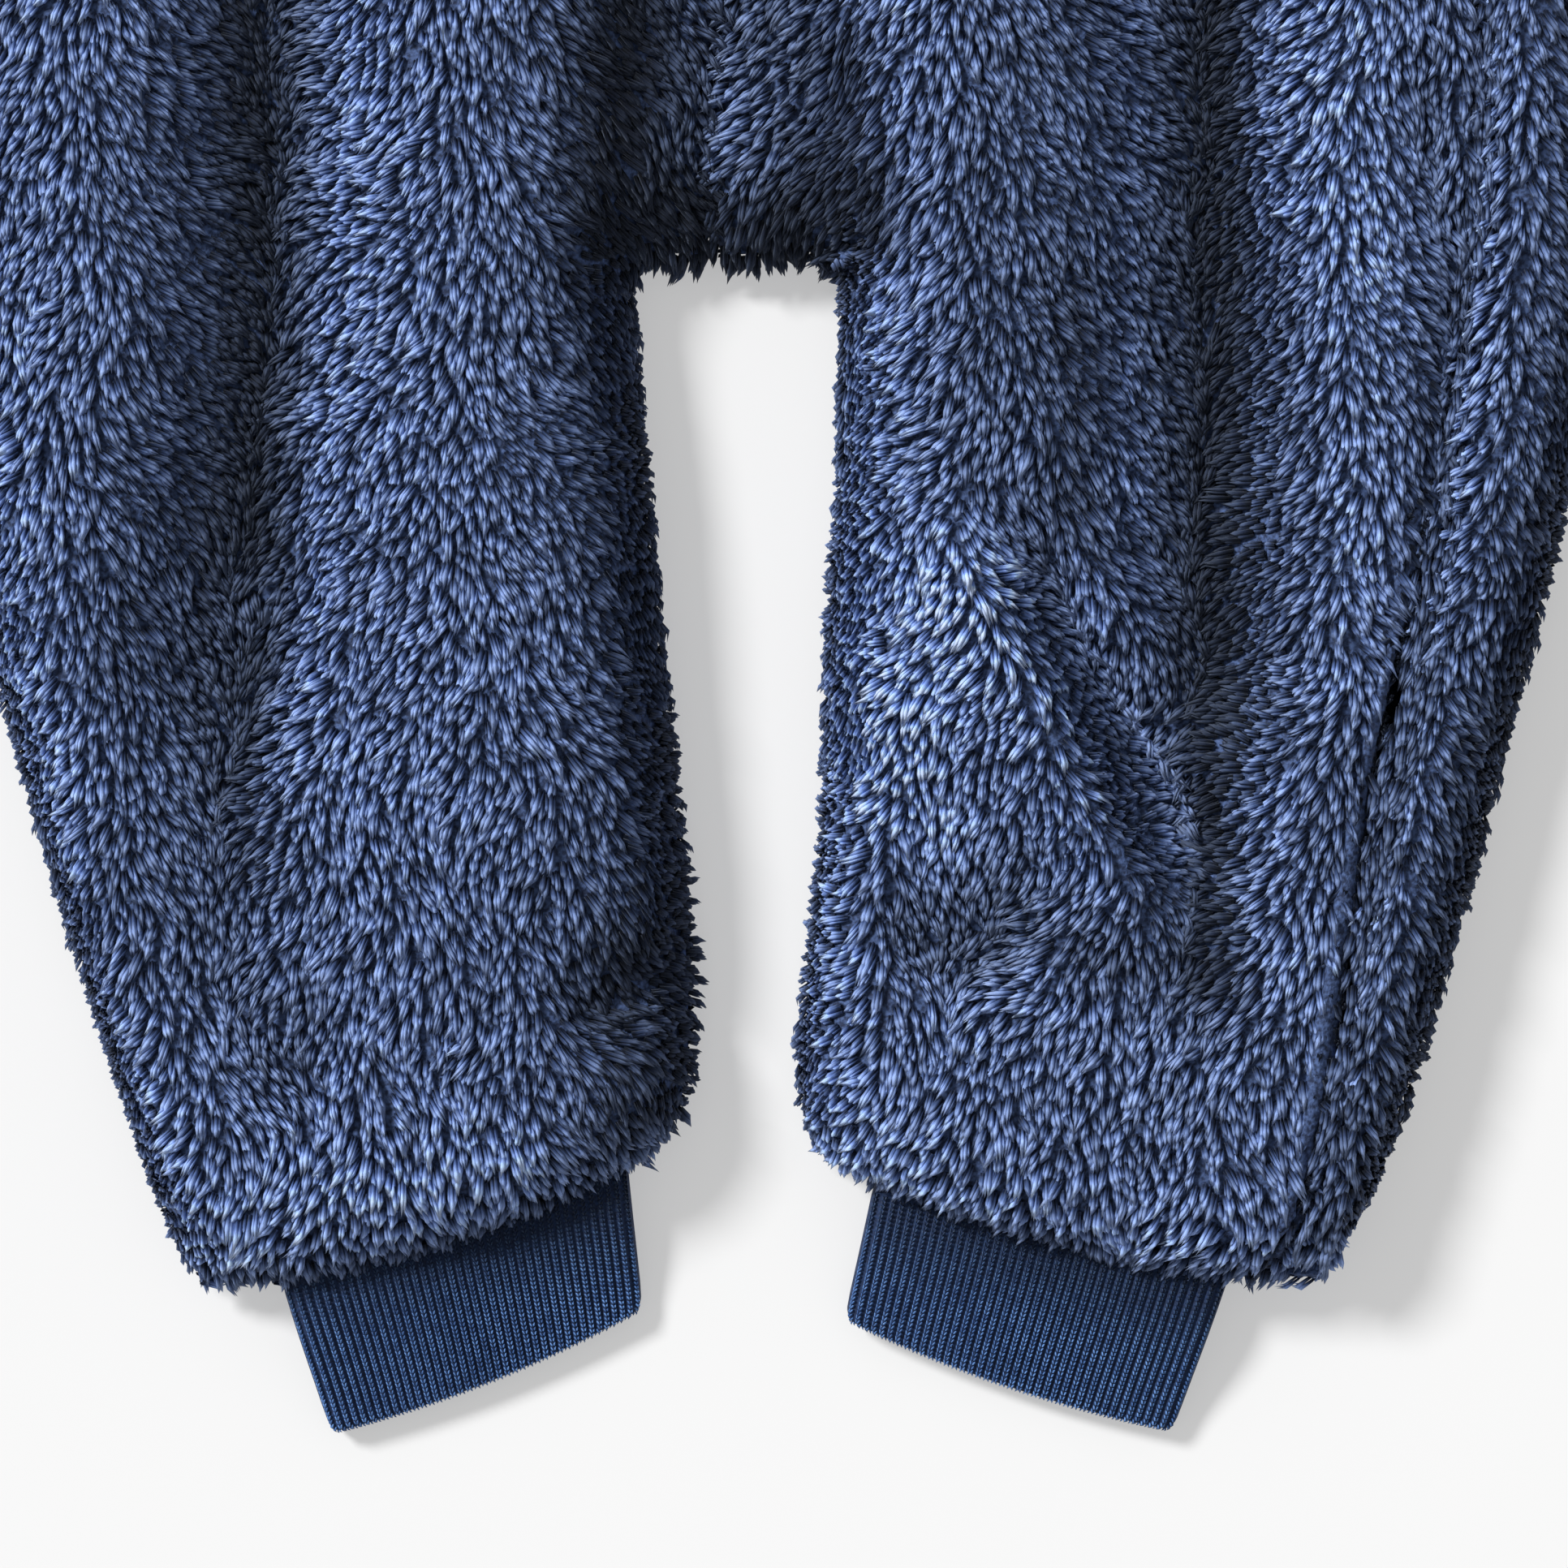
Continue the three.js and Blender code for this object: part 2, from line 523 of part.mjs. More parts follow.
function frontPanel(side) {
  const rows = fillRows(bodyTable(side, "front"), true);
  const firstLegRow = rows.findIndex((row) => row.leg);
  const grid = planGrid(rows, side, (row, length, index) => {
    const inset = side > 0 && row.arm < 0 ? rolledInset(row.outY) : 0;
    const stop = inset > 0 ? inset + SEAM_GAP * clamp(inset / 2) : 0;
    const inner = innerColumns(row, rows[firstLegRow - 1].inX);
    const whole = index === 0 || index === rows.length - 1;
    const places = spread(inner, OUTER, FRONT_MIDDLE, 0, length - stop);
    markEdges(places, index >= firstLegRow - 1, stop === 0 && row.arm <= 0);
    if (whole) places.forEach((place) => (place.onEdge = true));
    return places;
  });
  return partedAtHip(grid, rows).map((part) =>
    clothWall(part.grid, faces.frontOuter, faces.frontInner, coarser(part.grid, part.rows)),
  );
}

function backPanel(side) {
  const rows = fillRows(bodyTable(side, "back"), false);
  const firstLegRow = rows.findIndex((row) => row.leg);
  const grid = planGrid(rows, side, (row, length, index) => {
    const places = spread(BACK_ENDS, BACK_ENDS, BACK_MIDDLE, 0, length);
    markEdges(places, index >= firstLegRow - 1, row.arm <= 0);
    if (index === 0 || index === rows.length - 1) places.forEach((place) => (place.onEdge = true));
    return places;
  });
  const flat = clothWall(grid, faces.backOuter, faces.backInner);
  return side > 0 ? flat.add(rolledEdge()) : flat;
}

// The strip of the wearer's left back panel that rolls over the edge onto the front
function rolledEdge() {
  const rows = fillRows(bodyTable(1, "front"), true).filter(
    (row) => row.arm < 0 && row.outY <= ROLLED_SEAM[0].y,
  );
  const grid = planGrid(rows, 1, (row, length, index) => {
    const inset = rolledInset(row.outY);
    const shares = [1, 0.6, 0.3, 0.08, 0];
    return shares.map((share, i) => ({
      at: length - inset * share,
      onEdge: i === shares.length - 1 || index === rows.length - 1,
    }));
  });
  return clothWall(grid, faces.frontOuter, fused.upper, coarser(grid, rows));
}

// Sleeves: an upper and a lower half of one cloth, joined along both edges
function sleeve(side) {
  const rows = fillRows(sleeveTable(), true);
  const halfTube = (inner, outer, middle, outerFace, innerFace) => {
    const grid = planGrid(rows, side, (row, length, index) => {
      const places = markEdges(spread(inner, outer, middle, 0, length), true, true);
      if (index === rows.length - 1) places.forEach((place) => (place.onEdge = true));
      return places;
    });
    return clothWall(grid, outerFace, innerFace, coarser(grid, rows));
  };
  const [upperEnds, lowerEnds] = [[0, 2, 8, 18], [0, 3, 10, 20]];
  const upper = halfTube(upperEnds, upperEnds, 3, faces.frontOuter, fused.upper);
  const lower = halfTube(lowerEnds, lowerEnds, 3, faces.backOuter, fused.lower);
  return upper.add(lower);
}

// Rib knit: a flattened tube with ribs on its upper face, in rings from end to end
const unit = (v) => v.map((value) => value / Math.hypot(...v));
function cuffRings({ root, free }) {
  const middle = (pair) => [(pair[0][0] + pair[1][0]) / 2, (pair[0][1] + pair[1][1]) / 2];
  const [start, end] = [middle(root), middle(free)];
  const axis = unit([end[0] - start[0], end[1] - start[1]]);
  const reach = Math.hypot(end[0] - start[0], end[1] - start[1]);
  const stations = [-CUFF_HIDDEN, CUFF_LEVEL, reach];
  return stations.map((along) => {
    const t = along / reach;
    const shift = Math.min(t, 0) * reach;
    const corner = (k) => [
      mix(root[k][0], free[k][0], Math.max(t, 0)) + axis[0] * shift,
      mix(root[k][1], free[k][1], Math.max(t, 0)) + axis[1] * shift,
    ];
    const droop = ease((along - CUFF_LEVEL + 1) / (reach - CUFF_LEVEL + 1));
    const half = mix(CUFF_HALF.root, CUFF_HALF.free, clamp(t));
    return { left: corner(0), right: corner(1), half, z: mix(CUFF_Z, CUFF_HALF.free, droop) };
  });
}

// Points round one flattened ring: the upper face with ribs, then the plain lower face
function ringPoints(station, ribs, inset) {
  const { left, right, half, z } = station;
  const width = Math.hypot(right[0] - left[0], right[1] - left[1]);
  const across = unit([right[0] - left[0], right[1] - left[1]]);
  const points = [];
  const add = (at, height) =>
    points.push([left[0] + across[0] * at, left[1] + across[1] * at, z + height]);
  const shell = (at) => (half - inset) * bump(Math.min(at - inset, width - inset - at) / (half * 1.1));
  const upperSteps = ribs ? ribs * 2 : 14;
  const lowerSteps = 10;
  for (let i = 0; i < upperSteps; i++) {
    const at = mix(inset, width - inset, i / upperSteps);
    const onRib = ribs && i % 2 === 1 ? 0 : -RIB_DEPTH;
    add(at, i === 0 ? 0 : shell(at) + (ribs ? onRib : 0));
  }
  for (let i = 0; i < lowerSteps; i++) {
    const share = (1 + Math.cos((Math.PI * i) / lowerSteps)) / 2;
    const at = mix(inset, width - inset, share);
    add(at, i === 0 ? 0 : -shell(at));
  }
  return points;
}

// A tube from outer and inner rings, closed by a rim at both ends
function tubeSolid(outerRings, innerRings) {
  const points = [...outerRings.flat(), ...innerRings.flat()];
  const triangles = [];
  const loops = [];
  let base = 0;
  for (const [rings, inward] of [[outerRings, false], [innerRings, true]]) {
    const count = rings[0].length;
    const loop = (k) => Array.from({ length: count }, (_, i) => base + k * count + i);
    for (let k = 0; k + 1 < rings.length; k++) {
      const [a, b] = [loop(k), loop(k + 1)];
      for (let i = 0; i < count; i++) {
        const n = (i + 1) % count;
        triangles.push(inward ? [a[i], b[i], b[n], a[n]] : [a[i], a[n], b[n], b[i]]);
      }
    }
    loops.push([loop(0), loop(rings.length - 1)].map((ring) => [...ring, ring[0]]));
    base += rings.length * count;
  }
  const start = stitch(loops[0][0], loops[1][0], points).map(([a, b, c]) => [a, c, b]);
  const end = stitch(loops[0][1], loops[1][1], points);
  return closedSolid(points, [...triangles, ...start, ...end]);
}

function cuff(name) {
  const stations = cuffRings(CUFFS[name]);
  const [a, b] = CUFFS[name].root;
  const ribs = Math.round(Math.hypot(b[0] - a[0], b[1] - a[1]) / RIB_PITCH);
  const outer = stations.map((station) => ringPoints(station, ribs, 0));
  const inner = stations.map((station) => ringPoints(station, 0, RIB_WALL));
  return tubeSolid(outer, inner);
}

// The neckband: a strip of rib that runs from the zip round the back of the neck to the zip again
const BAND_HEIGHT = 24;
const BAND_LEAN = 0.87; // the free edge is this much nearer the middle
const BAND_SEAM_GAP = 0.7;
const BAND_FRONT_RIBS = 42; // from the zip to the side of the neck
const BAND_BACK_STEPS = 14;
const BAND_TURN = 6; // steps over which the band turns from the front to the back
const BAND_SAG = 1.5;

// Even steps along a line of points, each with the direction to its left (turn 1) or its right (turn -1)
function stepsAlong(points, count, turn) {
  const path = new THREE.CurvePath();
  for (let i = 0; i + 1 < points.length; i++) path.add(new THREE.LineCurve(points[i], points[i + 1]));
  return Array.from({ length: count + 1 }, (_, i) => {
    const u = i / count;
    const heading = path.getPointAt(clamp(u + 0.03)).sub(path.getPointAt(clamp(u - 0.03))).normalize();
    const p = path.getPointAt(u);
    return { x: p.x, y: p.y, offX: -heading.y * turn, offY: heading.x * turn };
  });
}

function neckLine() {
  const neckEdge = (layer) =>
    fillRows(bodyTable(1, layer), true)
      .filter((row) => row.arm > 0 || (row.arm === 0 && layer === "front"))
      .map((row) => new THREE.Vector2(row.inX, row.inY));
  const front = stepsAlong(neckEdge("front").reverse(), BAND_FRONT_RIBS * 2, 1).map((p, i) => ({
    ...p,
    z: mix(SEAM_Z, crown(p.x, p.y) - CLOTH + RIB_WALL, bump(edgeDistance(p.x, p.y) / FRONT_ROUND)),
    rib: i % 2,
  }));
  const middle = new THREE.Vector2(0, BODY_ROWS[3].backY);
  const back = stepsAlong([...neckEdge("back"), middle], BAND_BACK_STEPS, -1).map((p, i) => ({
    ...p,
    z: mix(SEAM_Z, RIB_WALL + 1.6, ease((i / BAND_BACK_STEPS) * 2)),
    rib: 1,
  }));
  Object.assign(back.at(-1), { x: 0, offX: 0, offY: 1 });
  const half = [...front, ...back.slice(1)];
  return [...half, ...half.slice(0, -1).reverse().map((p) => ({ ...p, x: -p.x, offX: -p.offX }))];
}

function neckband() {
  const line = neckLine();
  const turn = BAND_FRONT_RIBS * 2;
  const points = [];
  line.forEach((p, i) => {
    const fromEnd = Math.min(i, line.length - 1 - i);
    const facing = mix(1, -1, ease((fromEnd - turn + BAND_TURN) / (2 * BAND_TURN)));
    const sideways = Math.sqrt(1 - facing * facing) * Math.sign(p.x);
    const gap = BAND_SEAM_GAP + Math.abs(sideways) * RIB_WALL;
    const seam = { x: p.x + p.offX * gap, y: p.y + p.offY * gap, z: p.z };
    const free = { x: seam.x * BAND_LEAN, y: seam.y + BAND_HEIGHT, z: p.z - BAND_SAG * Math.max(facing, 0) };
    const edges = [seam, free];
    for (const { x, y, z } of edges) {
      const outward = RIB_WALL / 2 - (p.rib ? 0 : RIB_DEPTH);
      points.push([x + sideways * outward, y, z + facing * outward]);
      points.push([x - (sideways * RIB_WALL) / 2, y, z - (facing * RIB_WALL) / 2]);
    }
  });
  const order = [0, 2, 3, 1];
  const quads = [order.toReversed(), order.map((corner) => (line.length - 1) * 4 + corner)];
  for (let k = 0; k + 1 < line.length; k++) {
    for (let i = 0; i < 4; i++) {
      const [a, b] = [k * 4 + order[i], k * 4 + order[(i + 1) % 4]];
      quads.push([a, b, b + 4, a + 4]);
    }
  }
  return closedSolid(points, quads);
}

// Zip: two tapes under the panels' edges, a slider at the top of the groove, and its pull tab
const TAPE_HALF = 13;
const TAPE_THICK = 1.2;
const TAPE_TOP_Y = 416;
const TAPE_STEPS = 9;
const tapeTop = (y) => crown(0, y) - CLOTH - SEAM_GAP;
function zipTape(side) {
  const foot = ZIP_FOOT_Y + 4;
  const points = [];
  for (let i = 0; i <= TAPE_STEPS; i++) {
    const y = mix(foot, TAPE_TOP_Y, i / TAPE_STEPS);
    const top = Math.min(tapeTop(y), tapeTop(y - 12), tapeTop(y + 12)) - 0.4;
    for (const [x, z] of [
      [SEAM_GAP / 2, top],
      [TAPE_HALF, top - 0.6],
      [TAPE_HALF, top - 0.6 - TAPE_THICK],
      [SEAM_GAP / 2, top - TAPE_THICK],
    ])
      points.push([side * x, y, z]);
  }
  const quads = [];
  for (let i = 0; i < TAPE_STEPS; i++)
    for (let k = 0; k < 4; k++)
      quads.push([i * 4 + k, i * 4 + ((k + 1) % 4), (i + 1) * 4 + ((k + 1) % 4), (i + 1) * 4 + k]);
  quads.push([3, 2, 1, 0]);
  quads.push([0, 1, 2, 3].map((k) => TAPE_STEPS * 4 + k));
  return closedSolid(points, quads);
}

// The slider sits in the groove below the band. Two ears hold the pin on which the pull tab hangs.
const SLIDER = { y: 401, width: 8.4, length: 12, height: 2.4, lift: 0.3 };
const EAR = { inner: 2.1, thick: 1.2, reach: 2.2 };
const PIN_RADIUS = 0.8;
const PIN_BORE_RADIUS = 0.85;
const PIN_HEIGHT = 2.5; // above the slider's back
const TAB = { eyeRadius: 1.9, eyeWidth: 3.6, width: 6, length: 21, thick: 1.4, neck: 4, hole: 1.3, droop: 11 };
const ROUND = 24;
const sliderFloor = Math.max(tapeTop(SLIDER.y - 8), tapeTop(SLIDER.y + 8)) + SLIDER.lift;
const pinZ = sliderFloor + SLIDER.height + PIN_HEIGHT;

// A rod along X, centred on x = 0
const rod = (radius, width, y, z) =>
  wasm.Manifold.cylinder(width, radius, radius, ROUND, true)
    .rotate([0, 90, 0])
    .translate([0, y, z]);
const block = (width, length, height, y, z) =>
  wasm.Manifold.cube([width, length, height], true).translate([0, y, z + height / 2]);

function zipSlider() {
  const { y, width, length, height } = SLIDER;
  const shield = new wasm.CrossSection([
    [-width / 2, length / 2],
    [-width / 2, -length / 6],
    [-width / 4, -length / 2],
    [width / 4, -length / 2],
    [width / 2, -length / 6],
    [width / 2, length / 2],
  ]);
  const body = wasm.Manifold.extrude(shield, height, 0, 0, [0.86, 0.9]).translate([0, y, sliderFloor]);
  const earX = EAR.inner + EAR.thick / 2;
  const ears = [-1, 1].map((side) =>
    rod(EAR.reach, EAR.thick, y, pinZ)
      .add(block(EAR.thick, EAR.reach * 2, PIN_HEIGHT + height / 2, y, pinZ - PIN_HEIGHT - height / 2))
      .translate([side * earX, 0, 0]),
  );
  const pin = rod(PIN_RADIUS, 2 * EAR.inner + EAR.thick, y, pinZ);
  return body.add(ears[0]).add(ears[1]).add(pin);
}

function pullTab() {
  const { y } = SLIDER;
  const { eyeRadius, eyeWidth, width, length, thick, neck, hole, droop } = TAB;
  const plateZ = pinZ - thick / 2;
  const stem = block(eyeWidth, neck + 2, thick, y - (neck + 2) / 2, plateZ);
  const plate = block(width, length - neck - width / 2, thick, y - (neck + length - width / 2) / 2, plateZ);
  const tip = wasm.Manifold.cylinder(thick, width / 2, width / 2, ROUND).translate([
    0,
    y - length + width / 2,
    plateZ,
  ]);
  const tipHole = wasm.Manifold.cylinder(thick * 3, hole, hole, ROUND, true).translate([
    0,
    y - length + width / 2,
    pinZ,
  ]);
  return rod(eyeRadius, eyeWidth, y, pinZ)
    .add(stem)
    .add(plate)
    .add(tip)
    .subtract(rod(PIN_BORE_RADIUS, eyeWidth * 2, y, pinZ))
    .subtract(tipHole)
    .translate([0, -y, -pinZ])
    .rotate([droop, 0, 0])
    .translate([0, y, pinZ]);
}

// Scene graph
const cloth = (color, roughness) => new THREE.MeshStandardMaterial({ color, roughness, metalness: 0 });
const FLEECE = cloth(0x5870a8, 0.95);
const RIB = cloth(0x35507f, 0.9);
const TAPE = cloth(0x2c4068, 0.85);
const METAL = new THREE.MeshStandardMaterial({ color: 0x8d929b, roughness: 0.35, metalness: 1 });

const garment = new THREE.Group();
garment.position.y = CROTCH_Y;

function addSolid(name, solid, material, parent = garment) {
  const mesh = solid.getMesh();
  const geometry = new THREE.BufferGeometry();
  geometry.setAttribute("position", new THREE.BufferAttribute(mesh.vertProperties, 3));
  geometry.setIndex(new THREE.BufferAttribute(mesh.triVerts, 1));
  geometry.computeVertexNormals();
  const made = new THREE.Mesh(geometry, material);
  made.name = name;
  parent.add(made);
  return made;
}

for (const [word, side] of [["left", 1], ["right", -1]]) {
  const [chest, leg] = frontPanel(side);
  addSolid("front_" + word, chest, FLEECE);
  addSolid("front_leg_" + word, leg, FLEECE);
  addSolid("back_" + word, backPanel(side), FLEECE);
  addSolid("sleeve_" + word, sleeve(side), FLEECE);
  addSolid("ankle_cuff_" + word, cuff("ankle_cuff_" + word), RIB);
  addSolid("wrist_cuff_" + word, cuff("wrist_cuff_" + word), RIB);
  addSolid("zip_tape_" + word, zipTape(side), TAPE);
}
addSolid("neckband", neckband(), RIB);
addSolid("zip_slider", zipSlider(), METAL);
addSolid("pull_tab", pullTab(), METAL);

export default garment;
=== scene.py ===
# %% [markdown]
# # A plush fleece onesie, laid flat
# The garment is a toddler's one-piece in blue long-pile fleece, with rib knit cuffs. Its solids are already
# made, in metres, so this lesson dresses them: backing cloth, pile, knit and zip.

import math

import bmesh
import bpy
import numpy as np
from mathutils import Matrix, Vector, noise
from mathutils.bvhtree import BVHTree


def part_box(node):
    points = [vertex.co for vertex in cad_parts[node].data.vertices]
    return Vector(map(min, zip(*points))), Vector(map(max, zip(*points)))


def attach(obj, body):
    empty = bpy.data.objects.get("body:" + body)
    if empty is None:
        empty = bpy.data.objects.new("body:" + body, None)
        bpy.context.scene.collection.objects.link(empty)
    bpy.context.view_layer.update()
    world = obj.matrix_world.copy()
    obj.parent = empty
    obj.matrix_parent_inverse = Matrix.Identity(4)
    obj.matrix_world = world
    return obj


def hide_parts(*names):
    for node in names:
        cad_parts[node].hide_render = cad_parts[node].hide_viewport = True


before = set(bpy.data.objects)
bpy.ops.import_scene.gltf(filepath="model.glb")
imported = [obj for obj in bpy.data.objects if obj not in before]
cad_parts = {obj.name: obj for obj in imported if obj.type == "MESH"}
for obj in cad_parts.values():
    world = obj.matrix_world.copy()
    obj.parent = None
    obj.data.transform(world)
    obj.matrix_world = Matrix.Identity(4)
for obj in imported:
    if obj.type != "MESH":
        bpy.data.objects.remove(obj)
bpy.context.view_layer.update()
MM = 0.001
CROTCH_Y = -106.8 * MM  # the crotch is the place from which the photograph's sizes were taken

# %% [markdown]
# ## Camera
# The photograph looks straight down at the legs. A long lens keeps the sides of the cloth almost upright in
# the view, so that what was measured on the picture lands where it should.

# %% Camera over the legs
VIEW_WIDTH = 0.348
VIEW_CENTRE = (0.0097, -0.1154 + CROTCH_Y)
VIEW_PLANE_Z = 0.02
LENS, SENSOR = 135.0, 36.0

camera_data = bpy.data.cameras.new("camera")
camera_data.lens, camera_data.sensor_width = LENS, SENSOR
camera = bpy.data.objects.new("camera", camera_data)
camera.location = (*VIEW_CENTRE, VIEW_PLANE_Z + VIEW_WIDTH * LENS / SENSOR)
bpy.context.scene.collection.objects.link(camera)
bpy.context.scene.camera = camera
print("camera height:", round(camera.location.z, 3))

# %% [markdown]
# ## Floor and light
# The ground is almost white. A broad soft light comes from the upper left and throws a short shadow to the
# lower right, and the pale room fills the rest. Sun lamps light the whole floor evenly, as a far softbox does.
# The floor glows a little, like a light table, which keeps its shadows as pale as in the photograph.

# %% Floor and lamps
def shader(name):
    made = bpy.data.materials.new(name)
    made.use_nodes = True
    nodes, links = made.node_tree.nodes, made.node_tree.links
    return made, nodes, links, nodes["Principled BSDF"]


floor_paper, _, _, paper = shader("floor_paper")
paper.inputs["Base Color"].default_value = (0.43, 0.43, 0.43, 1)
paper.inputs["Roughness"].default_value = 0.95
paper.inputs["Emission Color"].default_value = (1, 1, 1, 1)
paper.inputs["Emission Strength"].default_value = 0.4

floor_mesh = bpy.data.meshes.new("floor")
floor_mesh.from_pydata([(-3, -3, 0), (3, -3, 0), (3, 3, 0), (-3, 3, 0)], [], [(0, 1, 2, 3)])
floor_mesh.materials.append(floor_paper)
floor = bpy.data.objects.new("floor", floor_mesh)
bpy.context.scene.collection.objects.link(floor)


def lamp(name, direction, spread, strength, colour=(1, 1, 1)):
    data = bpy.data.lights.new(name, "SUN")
    data.angle, data.energy, data.color = math.radians(spread), strength, colour
    made = bpy.data.objects.new(name, data)
    made.location = (-0.6, 0.6, 1)
    made.rotation_euler = Vector(direction).to_track_quat("-Z", "Y").to_euler()
    bpy.context.scene.collection.objects.link(made)
    return made


lamp("key_softbox", (0.66, -0.52, -0.72), 14, 4.0)
world = bpy.data.worlds.new("pale_room")
world.use_nodes = True
world.node_tree.nodes["Background"].inputs["Color"].default_value = (1, 1, 1, 1)
world.node_tree.nodes["Background"].inputs["Strength"].default_value = 0.42
bpy.context.scene.world = world
bpy.context.scene.view_settings.view_transform = "Standard"

# %% [markdown]
# ## Finish of the pile
# Each lock is a bundle of fine fibres. Its colour is painted dark at the root, as shade where no light reaches, and
# pale at the tip.
# The locks carry their own map: along a lock in one direction and around it in the other, so fine streaks
# can run lengthwise. A random value for each lock shifts its tone a little.

# %% Pile material
def attribute(nodes, name):
    node = nodes.new("ShaderNodeAttribute")
    node.attribute_name = name
    return node


def ramp(nodes, stops):
    node = nodes.new("ShaderNodeValToRGB")
    while len(node.color_ramp.elements) < len(stops):
        node.color_ramp.elements.new(0.5)
    for element, (place, colour) in zip(node.color_ramp.elements, stops):
        element.position, element.color = place, (*colour, 1)
    return node


def maths(nodes, links, kind, first, second=None):
    node = nodes.new("ShaderNodeMath")
    node.operation = kind
    for socket, value in zip(node.inputs, (first, second)):
        if value is None:
            continue
        if isinstance(value, (int, float)):
            socket.default_value = value
        else:
            links.new(value, socket)
    return node.outputs[0]


PILE_ROOT = (0.005, 0.011, 0.035)
PILE_DEEP = (0.06, 0.1, 0.24)
PILE_BODY = (0.235, 0.335, 0.63)
PILE_TIP = (0.41, 0.53, 0.86)
PILE_PALEST = (0.6, 0.72, 0.98)


def pile_finish(name):
    made, nodes, links, body = shader(name)
    along = attribute(nodes, "along")
    # painted shade: the ramp darkens each lock towards its root, through PILE_ROOT and PILE_DEEP
    tone = ramp(nodes, [(0.1, PILE_ROOT), (0.32, PILE_DEEP), (0.55, PILE_BODY), (1.0, PILE_TIP)])
    links.new(along.outputs["Fac"], tone.inputs["Fac"])

    lock_map = nodes.new("ShaderNodeUVMap")
    lock_map.uv_map = "lock_map"
    stretch = nodes.new("ShaderNodeMapping")
    stretch.inputs["Scale"].default_value = (3.2, 1.5, 1)
    links.new(lock_map.outputs["UV"], stretch.inputs["Vector"])
    tint = attribute(nodes, "tint")
    shift = nodes.new("ShaderNodeCombineXYZ")
    links.new(maths(nodes, links, "MULTIPLY", tint.outputs["Fac"], 37.0), shift.inputs["X"])
    links.new(shift.outputs[0], stretch.inputs["Location"])
    fibres = nodes.new("ShaderNodeTexNoise")
    fibres.inputs["Scale"].default_value = 2.2
    fibres.inputs["Detail"].default_value = 5
    fibres.inputs["Roughness"].default_value = 0.68
    links.new(stretch.outputs["Vector"], fibres.inputs["Vector"])

    streak = nodes.new("ShaderNodeMapRange")
    streak.inputs["From Min"].default_value, streak.inputs["From Max"].default_value = 0.34, 0.68
    streak.inputs["To Min"].default_value, streak.inputs["To Max"].default_value = 0.55, 1.5
    links.new(fibres.outputs["Fac"], streak.inputs["Value"])
    streak = streak.outputs["Result"]
    lock_tone = maths(nodes, links, "MULTIPLY_ADD", tint.outputs["Fac"], 0.6)
    lock_tone.node.inputs[2].default_value = 0.7
    level = maths(nodes, links, "MULTIPLY", streak, lock_tone)
    # painted light and shade: the stored shade makes the pile's colour lighter where it turns to the lamp and darker
    # in folds, valleys and the seam's dip
    shade = attribute(nodes, "shade")
    level = maths(nodes, links, "MULTIPLY", level, shade.outputs["Fac"])
    scaled = nodes.new("ShaderNodeVectorMath")
    scaled.operation = "SCALE"
    links.new(tone.outputs["Color"], scaled.inputs[0])
    links.new(level, scaled.inputs["Scale"])
    capped = nodes.new("ShaderNodeVectorMath")
    capped.operation = "MINIMUM"
    capped.inputs[1].default_value = PILE_PALEST
    links.new(scaled.outputs[0], capped.inputs[0])
    links.new(capped.outputs[0], body.inputs["Base Color"])

    relief = nodes.new("ShaderNodeBump")
    relief.inputs["Strength"].default_value = 0.8
    relief.inputs["Distance"].default_value = 0.0005
    links.new(fibres.outputs["Fac"], relief.inputs["Height"])
    links.new(relief.outputs["Normal"], body.inputs["Normal"])
    body.inputs["Roughness"].default_value = 0.85
    body.inputs["Specular IOR Level"].default_value = 0.12
    body.inputs["Sheen Weight"].default_value = 0.15
    body.inputs["Sheen Roughness"].default_value = 0.45
    body.inputs["Sheen Tint"].default_value = (0.6, 0.72, 1.0, 1)
    return made


fleece_pile = pile_finish("fleece_pile")

# %% [markdown]
# The ground of the fleece shows only between the roots and inside the neck. Short fuzz covers it, so it has the same
# blue in fine dark and light specks, on the piece's own coordinates. Its blue is also kept much darker than the
# pile's, as painted shade between the roots.

# %% Backing material
def backing_finish(name, dark, light, pitch):
    made, nodes, links, body = shader(name)
    place = nodes.new("ShaderNodeTexCoord")
    specks = nodes.new("ShaderNodeTexNoise")
    specks.inputs["Scale"].default_value = 1 / pitch
    specks.inputs["Detail"].default_value = 3
    links.new(place.outputs["Object"], specks.inputs["Vector"])
    tone = ramp(nodes, [(0.38, dark), (0.68, light)])
    links.new(specks.outputs["Fac"], tone.inputs["Fac"])
    links.new(tone.outputs["Color"], body.inputs["Base Color"])
    relief = nodes.new("ShaderNodeBump")
    relief.inputs["Strength"].default_value = 0.8
    relief.inputs["Distance"].default_value = 0.0006
    links.new(specks.outputs["Fac"], relief.inputs["Height"])
    links.new(relief.outputs["Normal"], body.inputs["Normal"])
    body.inputs["Roughness"].default_value = 0.85
    return made


# painted shade: the backing's blue is much darker than the pile's, so the gaps between roots read as shadow
fleece_backing = backing_finish("fleece_backing", (0.008, 0.018, 0.055), (0.07, 0.12, 0.28), 0.0011)

# %% [markdown]
# ## The cloth under the pile
# The solids reach as far as the tips of the pile. The knitted ground lies deeper by the length that the
# locks stand up, so each panel's outer face is taken from its solid, made smooth, and moved inwards.

